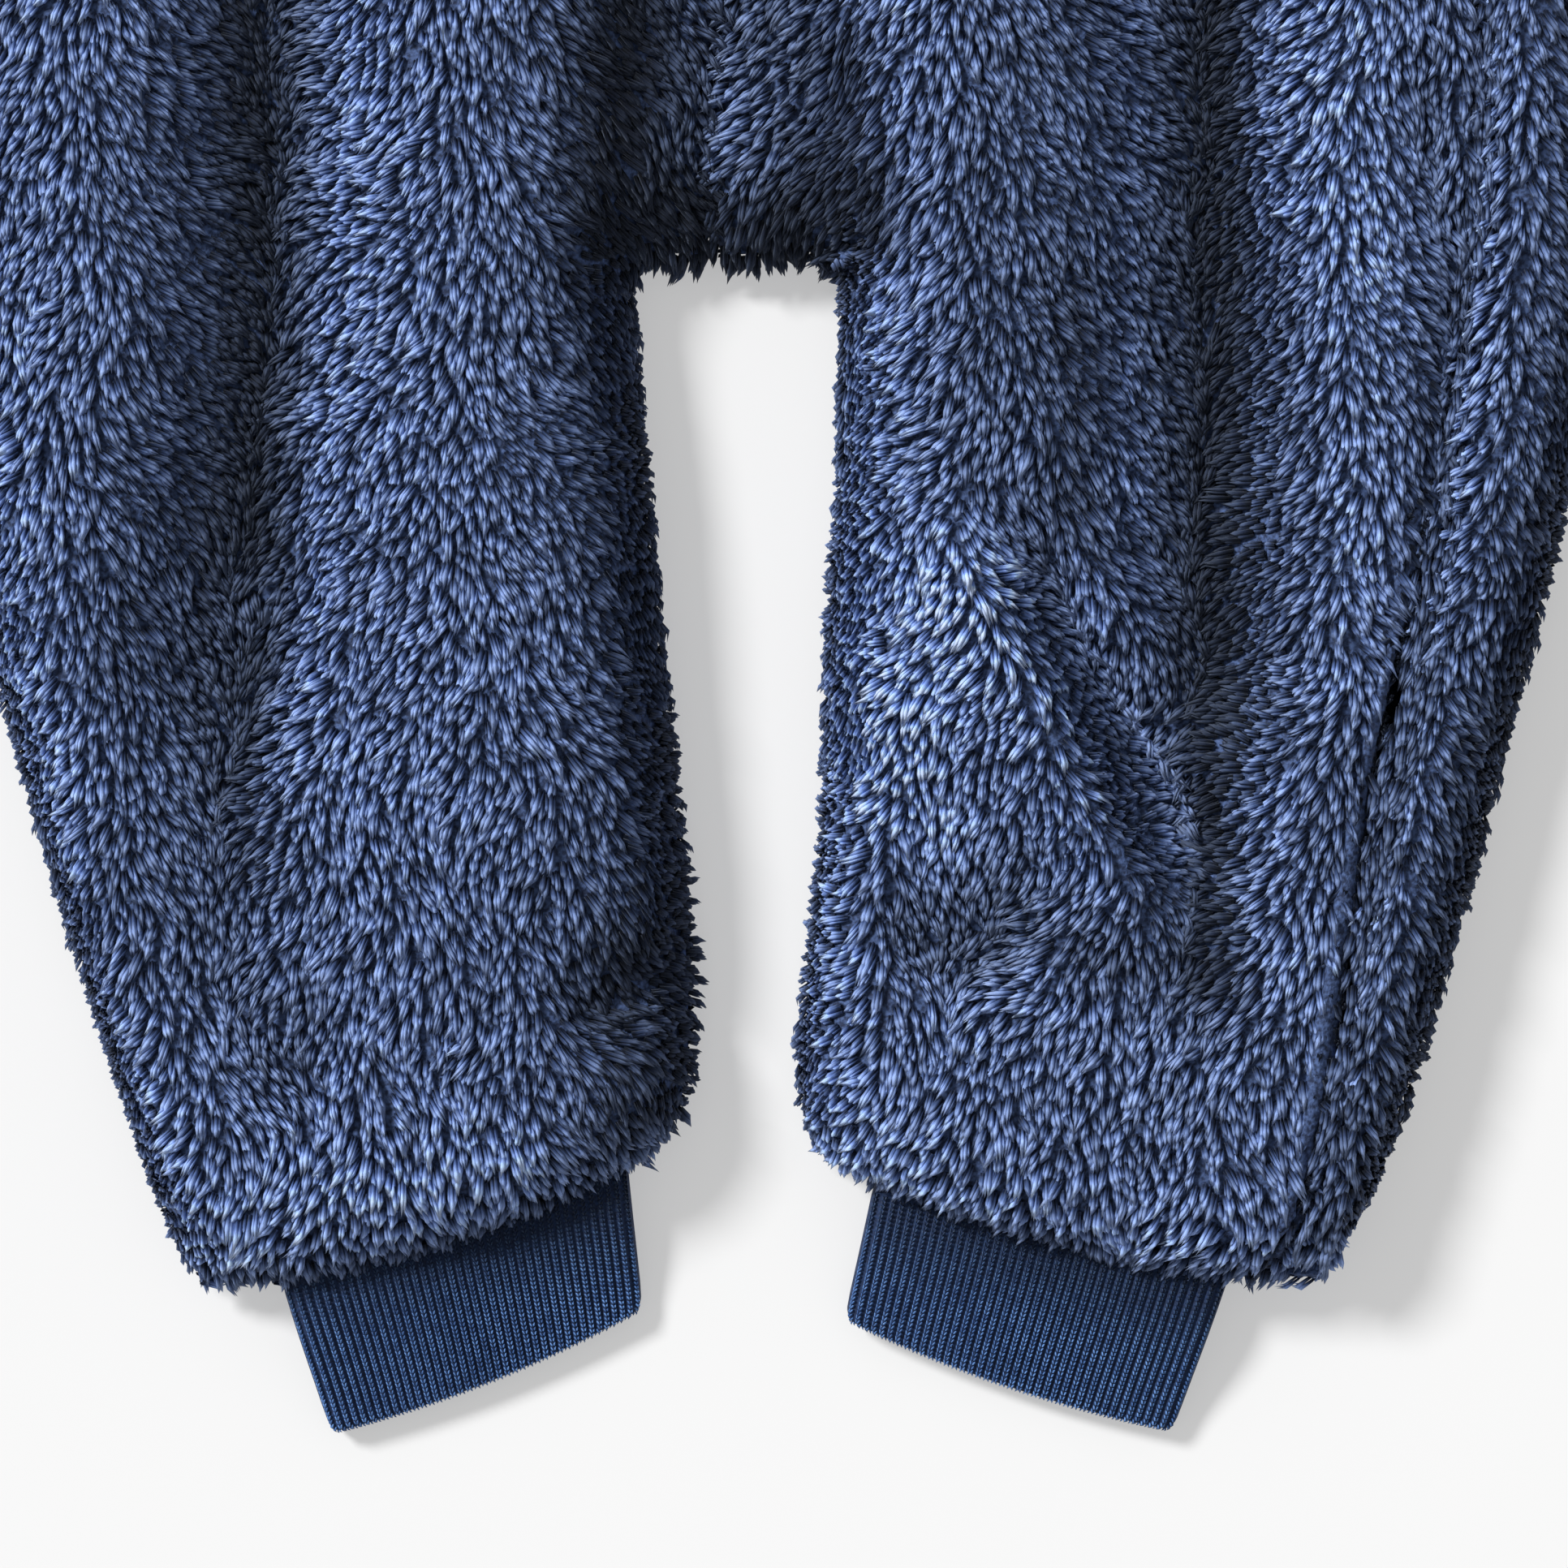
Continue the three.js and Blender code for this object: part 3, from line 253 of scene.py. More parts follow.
# %% Outer face of a panel
PANELS = {
    "front_left": ["front_left", "front_leg_left"],
    "front_right": ["front_right", "front_leg_right"],
    "back_left": ["back_left"],
    "back_right": ["back_right"],
    "sleeve_left": ["sleeve_left"],
    "sleeve_right": ["sleeve_right"],
}
SEAM_Z = 9 * MM
PARTING = 0.4 * MM  # a front panel's two solids stand this close
RIM = 0.95 * MM  # a panel's outer face ends this far above or below the seam
RIM_TURN = math.radians(58)
LIP_HEIGHT = 1.2 * MM
CUT_REACH = 1 * MM  # a front panel's two solids face each other across the hip nearer than this
TUBE_REACH = 120 * MM  # a sleeve is one closed tube, so its inner faces look at each other
ASTRAY = 2 * MM  # a point of the cloth that stands this far beside its panel is brought back
SLIVER = 0.05  # an island of faces under this share of its panel isn't cloth
PILE_DEPTH = 3.7 * MM
UNDER_DEPTH = 3.2 * MM


def new_object(name, mesh):
    made = bpy.data.objects.new(name, mesh)
    bpy.context.scene.collection.objects.link(made)
    return made


def baked(obj, name):
    """The object's evaluated mesh as a plain mesh, with the source object removed."""
    bpy.context.view_layer.update()
    graph = bpy.context.evaluated_depsgraph_get()
    mesh = bpy.data.meshes.new_from_object(
        obj.evaluated_get(graph), preserve_all_data_layers=True, depsgraph=graph
    )
    mesh.name = name
    bpy.data.objects.remove(obj)
    return mesh


def is_inside(face):
    """True where a face looks into the garment, or is the narrow upright lip along a seam."""
    slope, height = face.normal.z, face.calc_center_median().z
    levels = [vertex.co.z for vertex in face.verts]
    lip = abs(slope) < 0.02 and max(levels) - min(levels) < LIP_HEIGHT
    lip = lip or abs(height - SEAM_Z) < RIM / 2
    return lip or (slope < -0.02 and height > SEAM_Z) or (slope > 0.02 and height < SEAM_Z)


def cut_faces(work, reach):
    """Faces that have the panel's own cloth straight ahead of them, nearer than the reach."""
    tree = BVHTree.FromBMesh(work)
    return {
        face
        for face in work.faces
        if tree.ray_cast(face.calc_center_median() + face.normal * 0.02 * MM, face.normal, reach)[0]
    }


def faces_outside(work, reach):
    """The outer side of a closed wall: all that is reached from its level faces without a sharp turn."""
    cuts = cut_faces(work, reach)
    open_faces = {face for face in work.faces if not is_inside(face)} - cuts
    queue = [face for face in open_faces if abs(face.normal.z) > 0.3]
    reached = set(queue)
    while queue:
        for edge in queue.pop().edges:
            if not edge.is_manifold or edge.calc_face_angle() > RIM_TURN:
                continue
            for face in edge.link_faces:
                if face in open_faces and face not in reached:
                    reached.add(face)
                    queue.append(face)
    return reached


def drop_slivers(work):
    """Takes away the small islands of faces that hang on nothing."""
    left, whole = set(work.faces), sum(face.calc_area() for face in work.faces)
    while left:
        queue, island = [left.pop()], []
        while queue:
            island.append(queue.pop())
            for near in {face for edge in island[-1].edges for face in edge.link_faces} & left:
                left.discard(near)
                queue.append(near)
        if sum(face.calc_area() for face in island) < SLIVER * whole:
            bmesh.ops.delete(work, geom=island, context="FACES")


def outer_face(panel, levels):
    work = bmesh.new()
    for node in PANELS[panel]:
        work.from_mesh(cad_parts[node].data)
    bmesh.ops.remove_doubles(work, verts=work.verts, dist=2e-6)
    outside = faces_outside(work, TUBE_REACH if panel.startswith("sleeve") else CUT_REACH)
    lost = [face for face in work.faces if face not in outside]
    bmesh.ops.delete(work, geom=lost, context="FACES")
    for vertex in work.verts:
        if abs(abs(vertex.co.z - SEAM_Z) - RIM) < 0.03 * MM:
            vertex.co.z = SEAM_Z
    bmesh.ops.remove_doubles(work, verts=work.verts, dist=0.02 * MM)
    open_ends = {vertex for edge in work.edges if edge.is_boundary for vertex in edge.verts}
    bmesh.ops.remove_doubles(work, verts=list(open_ends), dist=PARTING)
    drop_slivers(work)
    bmesh.ops.join_triangles(
        work, faces=work.faces, angle_face_threshold=math.radians(35), angle_shape_threshold=math.pi
    )
    mesh = bpy.data.meshes.new(panel + "_face")
    work.to_mesh(mesh)
    work.free()
    made = new_object(panel + "_face", mesh)
    smooth = made.modifiers.new("smooth", "SUBSURF")
    smooth.levels = smooth.render_levels = levels
    smooth.boundary_smooth = "ALL"
    return baked(made, panel + "_skin")


def arrays(mesh):
    count = len(mesh.vertices)
    points, normals = np.zeros(count * 3), np.zeros(count * 3)
    mesh.vertices.foreach_get("co", points)
    mesh.vertices.foreach_get("normal", normals)
    return points.reshape(-1, 3), normals.reshape(-1, 3)


def neighbour_mean(mesh, values, rounds):
    """Values spread over the mesh: each vertex takes its neighbours' mean, again and again."""
    edges = np.zeros(len(mesh.edges) * 2, int)
    mesh.edges.foreach_get("vertices", edges)
    first, second = edges.reshape(-1, 2).T
    count = np.zeros(len(values))
    np.add.at(count, first, 1)
    np.add.at(count, second, 1)
    values = np.array(values, float)
    for _ in range(rounds):
        total = np.zeros_like(values)
        np.add.at(total, first, values[second])
        np.add.at(total, second, values[first])
        mean = (total.T / np.maximum(count, 1)).T
        values = 0.5 * values + 0.5 * mean
    return values


# %% [markdown]
# Folds that are narrower than the solids' faces are pressed into the cloth here. Each one is a line on the
# plan with a half width and a depth, and the cloth sinks along its own normal.

# %% Narrow creases and sunk seams
CREASES = [  # from, middle, to (mm, from the crotch), half width, depth
    ((60, -56), (85, -94), (110, -140), 4.5, 4.0),
    ((104, 75), (106, -30), (107, -130), 8.0, 2.5),
    ((49, -64), (71, -103), (97, -150), 8.0, -2.4),
    ((-38, -167), (-26, -162), (-10, -156), 4.5, 3.0),
    ((150, 60), (158, -20), (153, -80), 5.0, 1.5),
    ((24, -140), (42, -152), (66, -152), 7.0, 2.0),
    ((-95, -60), (-104, -95), (-118, -128), 5.0, 1.6),
]
OUT_SEAM = [(170, 143), (164, 13), (158, -28), (155, -53), (152, -78), (150, -94), (145, -112),
            (142, -125), (140, -143), (136, -167), (133, -190), (128, -212), (125, -231)]
CENTRE_SEAM = [(-7, -3), (-6.8, 20), (-4, 45), (-0.6, 75), (0, 100)]


def bow(start, middle, end, steps=10):
    t = np.linspace(0, 1, steps)[:, None]
    bend = 2 * np.array(middle) - (np.array(start) + np.array(end)) / 2
    return (1 - t) ** 2 * np.array(start) + 2 * t * (1 - t) * bend + t**2 * np.array(end)


def plan_distance(points, line):
    """Distance on the plan from each point to a line of places in mm from the crotch, and its share along."""
    plan = points[:, :2] / MM - np.array([0, CROTCH_Y / MM])
    best, share = np.full(len(plan), 1e9), np.zeros(len(plan))
    line = np.array(line, float)
    for index, (a, b) in enumerate(zip(line[:-1], line[1:])):
        step = b - a
        t = np.clip(((plan - a) @ step) / (step @ step), 0, 1)
        gap = np.linalg.norm(plan - a - t[:, None] * step, axis=1)
        near = gap < best
        best[near], share[near] = gap[near], (index + t[near]) / (len(line) - 1)
    return best, share


def sunk_depth(points):
    depth = np.zeros(len(points))
    for start, middle, end, width, amount in CREASES:
        gap, share = plan_distance(points, bow(start, middle, end))
        fade = np.clip(share / 0.15, 0, 1) * np.clip((1 - share) / 0.15, 0, 1)
        depth += amount * MM * fade * np.exp(-((gap / width) ** 2))
    for line, width, amount in ((OUT_SEAM, 3.6, 2.6), (CENTRE_SEAM, 4.0, 2.2)):
        gap, _ = plan_distance(points, line)
        depth += amount * MM * np.exp(-((gap / width) ** 2))
    return np.where(points[:, 2] > SEAM_Z, depth, 0)


# %% [markdown]
# ## Which way the pile lies
# Brushed pile falls down the limb and away from every ridge into the next valley. The cloth's own slope
# gives that direction. In a valley the locks are pressed together and stand up, so only their tips show.

# %% Comb direction, lean, and painted light and shade over a panel
KEY_SIDE = np.array([-0.66, 0.52, 0.54])  # towards the light
# painted light and shade along lines on the plan: a share under one paints shade, over one paints light
PAINTED_LIGHT_LINES = [  # from, middle, to (mm, from the crotch), half width, share of the light
    ((106, 75), (107, -60), (106, -155), 12, 0.03),  # left leg, the fold that runs down its middle
    ((120, 0), (123, -45), (121, -100), 9, 0.6),
    ((72, 10), (72, -20), (72, -50), 8, 0.62),
    ((56, 60), (54, 10), (54, -20), 8, 0.65),
    ((54, -70), (76, -98), (96, -126), 12, 3.0),  # the lit side of the slanting crease
    ((39, -95), (38, -112), (48, -125), 10, 2.4),
    ((110, -122), (114, -138), (118, -150), 10, 1.6),
    ((137, 60), (138, -20), (134, -90), 8, 1.5),
    ((68, -146), (74, -150), (84, -152), 8, 0.6),
    ((87, 70), (86, 0), (86, -70), 7, 2.0),
    ((28, -196), (70, -212), (122, -222), 13, 1.7),  # hem
    ((-110, 75), (-107, 0), (-108, -60), 12, 0.14),  # right leg, the fold that runs down its middle
    ((-107, -85), (-107, -110), (-108, -130), 9, 0.3),
    ((-26, -150), (-27, -165), (-28, -185), 9, 0.22),
    ((-166, -20), (-156, -80), (-146, -120), 10, 1.35),
    ((-122, -222), (-78, -208), (-52, -198), 13, 2.0),  # hem
    ((-28, 75), (-30, 35), (-32, 8), 12, 0.06),  # crotch
    ((26, 50), (25, 30), (27, 10), 9, 0.18),
    ((-14, 14), (5, 9), (24, 14), 15, 0.02),
]

DARKEST = 0.13


def painted_light_along(points):
    """Painted light and shade: places where the pile is painted darker, as in the shade of a fold, or lighter, as
    where it catches more light.
    """
    tone = np.ones(len(points))
    for start, middle, end, width, share in PAINTED_LIGHT_LINES:
        gap, _ = plan_distance(points, bow(start, middle, end))
        tone *= 1 + (share - 1) * np.exp(-((gap / width) ** 2))
    return np.maximum(tone, DARKEST)


LIMBS = {"leg_left": (-0.13, -1.0), "leg_right": (0.15, -1.0), "sleeve": (0.643, -0.766)}


def limb_direction(node, points):
    side = np.sign(points[:, 0])
    down = np.tile([0.0, -1.0, 0.0], (len(points), 1))
    if node.startswith("sleeve"):
        down[:, 0], down[:, 1] = LIMBS["sleeve"][0] * side, LIMBS["sleeve"][1]
    else:
        share = np.clip((0.04 - (points[:, 1] - CROTCH_Y)) / 0.08, 0, 1)
        slant = np.where(side > 0, LIMBS["leg_left"][0], LIMBS["leg_right"][0])
        down[:, 0] = slant * share
    return down / np.linalg.norm(down, axis=1)[:, None]


def noise_at(points, scale, seed):
    shift = Vector((seed * 7.3, seed * 3.1, seed * 1.7))
    return np.array([noise.noise(Vector(p) * scale + shift) for p in points])


def turned(vectors, axes, angle):
    cos, sin = np.cos(angle)[:, None], np.sin(angle)[:, None]
    return vectors * cos + np.cross(axes, vectors) * sin


def unit(vectors):
    return vectors / np.maximum(np.linalg.norm(vectors, axis=1), 1e-9)[:, None]


def combed(mesh, node):
    """Stores how the pile grows: its direction, its lean's plane and its length, and its painted light and shade."""
    points, normals = arrays(mesh)
    soft = unit(neighbour_mean(mesh, normals, 6))
    hollow = neighbour_mean(mesh, points[:, 2], 90) - neighbour_mean(mesh, points[:, 2], 4)
    top = points[:, 2] > SEAM_Z - 2 * MM
    valley = np.clip(hollow / (1.6 * MM), 0, 1) * top
    ridge = np.clip(-hollow / (1.6 * MM), 0, 1) * top

    steep = np.linalg.norm(soft[:, :2], axis=1)
    downhill = np.column_stack((soft[:, 0] * soft[:, 2], soft[:, 1] * soft[:, 2], -(steep**2)))
    comb = limb_direction(node, points) * 0.8 + downhill * 2.2
    comb = unit(comb - (comb * soft).sum(1)[:, None] * soft)
    swirl = noise_at(points, 38, 1) * 0.75 + noise_at(points, 120, 2) * 0.55
    comb = turned(comb, soft, swirl)

    flank = np.clip(steep / 0.7, 0, 1)
    lean = 55 + 29 * flank**2 - 26 * valley + 4 * ridge + noise_at(points, 70, 3) * 18 * (1 - 0.7 * flank)
    lean = np.radians(np.minimum(lean, 86))
    loose = np.where(top, 1 - 0.65 * flank, 0.3)
    lean = np.where(top, lean, np.radians(84))
    grow = unit(soft * np.cos(lean)[:, None] + comb * np.sin(lean)[:, None])
    limb = limb_direction(node, points)
    hem = np.clip(((soft * limb).sum(1) - 0.25) / 0.4, 0, 1) * top  # here the pile hangs over the cuff
    grow = unit(grow * (1 - 0.55 * hem)[:, None] + (limb + np.array([0, 0, 0.12])) * (0.55 * hem)[:, None])
    length = np.where(top, 1 - 0.18 * valley + 0.1 * flank, 0.6) + noise_at(points, 55, 4) * 0.16
    from_crotch, _ = plan_distance(points, [(-14, 34), (20, 34)])
    length *= 1 + 0.3 * np.exp(-((from_crotch / 26) ** 2))
    # painted light and shade: pile that turns towards the lamp is painted lighter, pile that turns away or lies in a
    # valley darker
    toward_lamp = soft @ KEY_SIDE - KEY_SIDE[2]
    toward_lamp = np.maximum(toward_lamp, -0.6) * (1 - 0.7 * hem)
    shade = np.exp(1.5 * toward_lamp - 0.75 * valley + noise_at(points, 24, 5) * 0.14) * painted_light_along(points)
    shade = np.where(top, shade, np.maximum(shade, 0.55))

    for name, kind, values in (
        ("comb", "FLOAT_VECTOR", comb),
        ("grow", "FLOAT_VECTOR", grow),
        ("length", "FLOAT", length),
        ("loose", "FLOAT", loose),
        ("shade", "FLOAT", shade),
    ):
        layer = mesh.attributes.new(name, kind, "POINT")
        layer.data.foreach_set("vector" if kind == "FLOAT_VECTOR" else "value", values.astype(np.float32).ravel())


def drawn_in(points, panel, depth):
    """Brings the few points that left the panel sideways back under its nearest face."""
    work = bmesh.new()
    for node in PANELS[panel]:
        work.from_mesh(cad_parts[node].data)
    tree = BVHTree.FromBMesh(work)
    work.free()
    for index, point in enumerate(points):
        near, normal, _, gap = tree.find_nearest(point)
        covered = any(tree.ray_cast(point, (0, 0, way))[0] for way in (1, -1))
        if gap > ASTRAY and not covered:
            points[index] = near - normal * depth[index]


def skin_of(node, levels, lowered=0.0):
    mesh = outer_face(node, levels)
    points, normals = arrays(mesh)
    steady = unit(neighbour_mean(mesh, normals, 12))
    astray = (normals * steady).sum(1) < 0  # a narrow face along the seam can look inwards
    normals[astray] = steady[astray]
    under = np.clip((SEAM_Z - points[:, 2]) / (6 * MM), 0, 1)
    depth = PILE_DEPTH + (UNDER_DEPTH - PILE_DEPTH) * under + sunk_depth(points)
    points -= normals * (depth + lowered)[:, None]
    drawn_in(points, node, depth + lowered)
    mesh.vertices.foreach_set("co", points.ravel())
    mesh.update()
    combed(mesh, node)
    return mesh


skins = {panel: skin_of(panel, 2) for panel in PANELS}
print("skins:", {node: len(mesh.polygons) for node, mesh in skins.items()})

# %% [markdown]
# The backing is that face with its real thickness of a little over a millimetre. Solidify gives it, inwards.

# %% Backing cloth of each panel
BACKING_THICK = 1.2 * MM
ROOT_HIDE = 0.8 * MM  # the backing stays this far under the roots, so its rim never shows
cloths = {}
for node, skin in skins.items():
    made = new_object(node + "_cloth", skin_of(node, 1, ROOT_HIDE))
    wall = made.modifiers.new("wall", "SOLIDIFY")
    wall.thickness, wall.offset = BACKING_THICK, -1
    mesh = baked(made, node + "_cloth")
    mesh.materials.clear()
    mesh.materials.append(fleece_backing)
    mesh.shade_smooth()
    cloths[node] = new_object(node + "_cloth", mesh)
    area = sum(face.area for face in skin.polygons)
    print(node, "cloth area m2:", round(area, 4))

# %% [markdown]
# ## Locks of pile
# A lock is a small bundle of strands that leave the cloth together and part a little at their tips, and it bends over
# under its own weight. A few variants are enough, because each copy also gets its own turn, length and width. Where
# the pile is far from the picture, one wider strand stands for a lock.

# %% Lock variants
LOCK_LENGTH = 6.8 * MM
STRAND_RINGS = [(0.0, 0.75), (0.58, 1.0), (1.0, 0.0)]  # places along a strand, with the share of its width
BUNDLES = {  # strands in a lock, half width of a strand, how far its roots and its tips spread (mm)
    "fine": (4, 0.54, 0.66, 0.6),
    "plain": (1, 1.15, 0, 0.3),
    "flat": (1, 1.25, 0, 0.3),
}


def lock_mesh(name, kind, seed):
    random = np.random.default_rng(seed)
    strands, half, root_spread, tip_spread = BUNDLES[kind]
    bend, sway = random.uniform(0.25, 0.5), random.uniform(-0.15, 0.15)
    points, faces, around, along = [], [], [], []
    for strand in range(strands):
        angle = 2 * math.pi * (strand + random.uniform(-0.2, 0.2)) / strands
        side = np.array([math.cos(angle), 0.7 * math.sin(angle), 0])
        reach = random.uniform(0.68, 1.08)
        width = half * random.uniform(0.8, 1.15)
        first = len(points)
        for place, share in STRAND_RINGS:
            spread = root_spread + (tip_spread * random.uniform(0.6, 1.2) - root_spread) * place
            line = np.array([sway * place**2, bend * place**2, place - 0.2 * place**2]) * reach * LOCK_LENGTH
            centre = line + side * spread * MM
            for corner in range(3 if share else 1):
                turn = 2 * math.pi * corner / 3 - math.pi / 2
                points.append(tuple(centre + width * share * MM * np.array([math.cos(turn), 0.8 * math.sin(turn), 0])))
                around.append(strand * 1.7 + corner / 3)
                along.append(place * reach)
        for corner in range(3):
            n = (corner + 1) % 3
            faces.append((first + corner, first + n, first + 3 + n, first + 3 + corner))
            faces.append((first + 3 + corner, first + 3 + n, first + 6))
    mesh = bpy.data.meshes.new(name)
    mesh.from_pydata(points, [], faces)
    mesh.attributes.new("along", "FLOAT", "POINT").data.foreach_set("value", along)
    layer = mesh.uv_layers.new(name="lock_map")
    for loop in mesh.loops:
        layer.data[loop.index].uv = (around[loop.vertex_index], along[loop.vertex_index])
    mesh.shade_smooth()
    return mesh


def lock_collection(kind, count=5):
    made = bpy.data.collections.new("locks_" + kind)
    for seed in range(count):
        name = f"lock_{kind}_{seed}"
        made.objects.link(bpy.data.objects.new(name, lock_mesh(name, kind, seed + 11)))
    return made


locks = {kind: lock_collection(kind) for kind in BUNDLES}

# %% [markdown]
# ## Planting the locks
# Fur that repeats thousands of times is work for Geometry Nodes. Points are scattered with an even spacing
# over the cloth, a lock is set on each, its axis along the stored growth and its bend along the comb, and
# the copies become one plain mesh.

# %% Tree that plants the pile
def group_input(tree, name, kind, value=None):
    socket = tree.interface.new_socket(name, in_out="INPUT", socket_type=kind)
    if value is not None:
        socket.default_value = value
    return socket.identifier


def pile_tree():
    tree = bpy.data.node_groups.new("plant_pile", "GeometryNodeTree")
    group_input(tree, "Geometry", "NodeSocketGeometry")
    names = {
        "locks": group_input(tree, "Locks", "NodeSocketCollection"),
        "spacing": group_input(tree, "Spacing", "NodeSocketFloat", 0.0024),
        "size": group_input(tree, "Size", "NodeSocketFloat", 1.0),
        "seed": group_input(tree, "Seed", "NodeSocketInt", 1),
        "finish": group_input(tree, "Finish", "NodeSocketMaterial"),
    }
    tree.interface.new_socket("Geometry", in_out="OUTPUT", socket_type="NodeSocketGeometry")
    nodes, links = tree.nodes, tree.links
    start, end = nodes.new("NodeGroupInput"), nodes.new("NodeGroupOutput")

    scatter = nodes.new("GeometryNodeDistributePointsOnFaces")
    scatter.distribute_method = "POISSON"
    links.new(start.outputs["Geometry"], scatter.inputs["Mesh"])
    links.new(start.outputs["Spacing"], scatter.inputs["Distance Min"])
    scatter.inputs["Density Max"].default_value = 1e6
    links.new(start.outputs["Seed"], scatter.inputs["Seed"])

    def stored(name, kind):
        node = nodes.new("GeometryNodeInputNamedAttribute")
        node.data_type = kind
        node.inputs["Name"].default_value = name
        return node.outputs["Attribute"]

    def random(kind, low, high, seed):
        node = nodes.new("FunctionNodeRandomValue")
        node.data_type = kind
        places = [s for s in node.inputs if s.enabled]
        places[0].default_value, places[1].default_value = low, high
        node.inputs["Seed"].default_value = seed
        return [s for s in node.outputs if s.enabled][0]

    def vector_math(kind, first, second):
        node = nodes.new("ShaderNodeVectorMath")
        node.operation = kind
        links.new(first, node.inputs[0])
        links.new(second, node.inputs["Scale"] if kind == "SCALE" else node.inputs[1])
        return node.outputs[0]

    def align(axis, pivot, vector, rotation=None):
        node = nodes.new("FunctionNodeAlignRotationToVector")
        node.axis, node.pivot_axis = axis, pivot
        links.new(vector, node.inputs["Vector"])
        if rotation is not None:
            links.new(rotation, node.inputs["Rotation"])
        return node.outputs["Rotation"]

    jitter = random("FLOAT_VECTOR", (-0.24, -0.24, -0.14), (0.24, 0.24, 0.14), 3)
    jitter = vector_math("SCALE", jitter, stored("loose", "FLOAT"))
    grow = vector_math("ADD", stored("grow", "FLOAT_VECTOR"), jitter)
    upright = align("Z", "AUTO", grow)
    rolled = align("Y", "Z", vector_math("ADD", stored("comb", "FLOAT_VECTOR"), jitter), upright)

    width = random("FLOAT", 0.8, 1.35, 5)
    reach = nodes.new("ShaderNodeMath")
    reach.operation = "MULTIPLY"
    links.new(stored("length", "FLOAT"), reach.inputs[0])
    links.new(random("FLOAT", 0.72, 1.22, 6), reach.inputs[1])
    sides = nodes.new("ShaderNodeCombineXYZ")
    links.new(width, sides.inputs["X"])
    links.new(width, sides.inputs["Y"])
    links.new(reach.outputs[0], sides.inputs["Z"])

    pick = nodes.new("GeometryNodeCollectionInfo")
    links.new(start.outputs["Locks"], pick.inputs["Collection"])
    pick.inputs["Separate Children"].default_value = True
    pick.inputs["Reset Children"].default_value = True
    plant = nodes.new("GeometryNodeInstanceOnPoints")
    plant.inputs["Pick Instance"].default_value = True
    links.new(scatter.outputs["Points"], plant.inputs["Points"])
    links.new(pick.outputs["Instances"], plant.inputs["Instance"])
    links.new(random("INT", 0, 4, 7), plant.inputs["Instance Index"])
    links.new(rolled, plant.inputs["Rotation"])
    links.new(vector_math("SCALE", sides.outputs[0], start.outputs["Size"]), plant.inputs["Scale"])

    tone = nodes.new("GeometryNodeStoreNamedAttribute")
    tone.data_type, tone.domain = "FLOAT", "INSTANCE"
    tone.inputs["Name"].default_value = "tint"
    links.new(plant.outputs["Instances"], tone.inputs["Geometry"])
    links.new(random("FLOAT", 0.0, 1.0, 8), tone.inputs["Value"])
    real = nodes.new("GeometryNodeRealizeInstances")
    finish = nodes.new("GeometryNodeSetMaterial")
    links.new(tone.outputs["Geometry"], real.inputs["Geometry"])
    links.new(real.outputs["Geometry"], finish.inputs["Geometry"])
    links.new(start.outputs["Finish"], finish.inputs["Material"])
    links.new(finish.outputs["Geometry"], end.inputs["Geometry"])
    return tree, names


plant_pile, PILE_INPUTS = pile_tree()

# %% [markdown]
# Each panel is planted in two or three parts. The legs, which the photograph shows, get the finest locks.
# The body gets larger ones, and the side that lies on the floor the largest, pressed flat.

# %% Pile of each panel
LEG_TOP_Y = 75 * MM + CROTCH_Y
KNEE_Y = -70 * MM + CROTCH_Y
RIM_Z = SEAM_Z - 3.5 * MM  # below this the pile lies on the floor
REGIONS = {  # kind of lock, spacing, size
    "leg": ("fine", 2.27 * MM, 1.05),
    "body": ("plain", 2.75 * MM, 1.4),
    "under": ("flat", 4.3 * MM, 1.5),
}


def part_of(skin, chooses, name):
    work = bmesh.new()
    work.from_mesh(skin)
    work.normal_update()
    lost = [face for face in work.faces if not chooses(face.calc_center_median(), face.normal.z)]
    bmesh.ops.delete(work, geom=lost, context="FACES")
    mesh = bpy.data.meshes.new(name)
    work.to_mesh(mesh)
    work.free()
    return mesh


def plant(skin, name, region, seed):
    kind, spacing, size = REGIONS[region]
    source = new_object(name + "_source", skin)
    modifier = source.modifiers.new("pile", "NODES")
    modifier.node_group = plant_pile
    values = {"locks": locks[kind], "spacing": spacing, "size": size, "seed": seed, "finish": fleece_pile}
    for key, value in values.items():
        modifier[PILE_INPUTS[key]] = value
    mesh = baked(source, name)
    points, _ = arrays(mesh)
    points[:, 2] = np.maximum(points[:, 2], 0.1 * MM + 0.06 * np.abs(points[:, 2]))
    mesh.vertices.foreach_set("co", points.ravel())
    mesh.update()
    made = new_object(name, mesh)
    print(name, "triangles:", sum(len(p.vertices) - 2 for p in mesh.polygons))
    return made


def beneath(place, slope):
    return place.z <= RIM_Z and slope < -0.9


def on_leg(place, slope):
    return place.z > RIM_Z and KNEE_Y <= place.y < LEG_TOP_Y


def on_shin(place, slope):
    return place.z > RIM_Z and place.y < KNEE_Y


def on_body(place, slope):
    return place.z > RIM_Z and place.y >= LEG_TOP_Y


PARTS = [("shin", "leg", on_shin), ("leg", "leg", on_leg), ("body", "body", on_body), ("under", "under", beneath)]
piles = {}
for index, (node, skin) in enumerate(skins.items()):
    piles[node] = []
    for part, region, chooses in PARTS:
        area = part_of(skin, chooses, f"{node}_{part}")
        if len(area.polygons) > 40:
            piles[node].append(plant(area, f"{node}_{part}_pile", region, 20 + index))

# %% [markdown]
# On the wearer's left leg the back has rolled onto the front, and the two panels meet in a dip. Pile from
# both sides closes over it, so one more narrow row of locks is planted along the seam.

# %% Pile in the dip of the rolled seam
DIP_HALF = 4.0


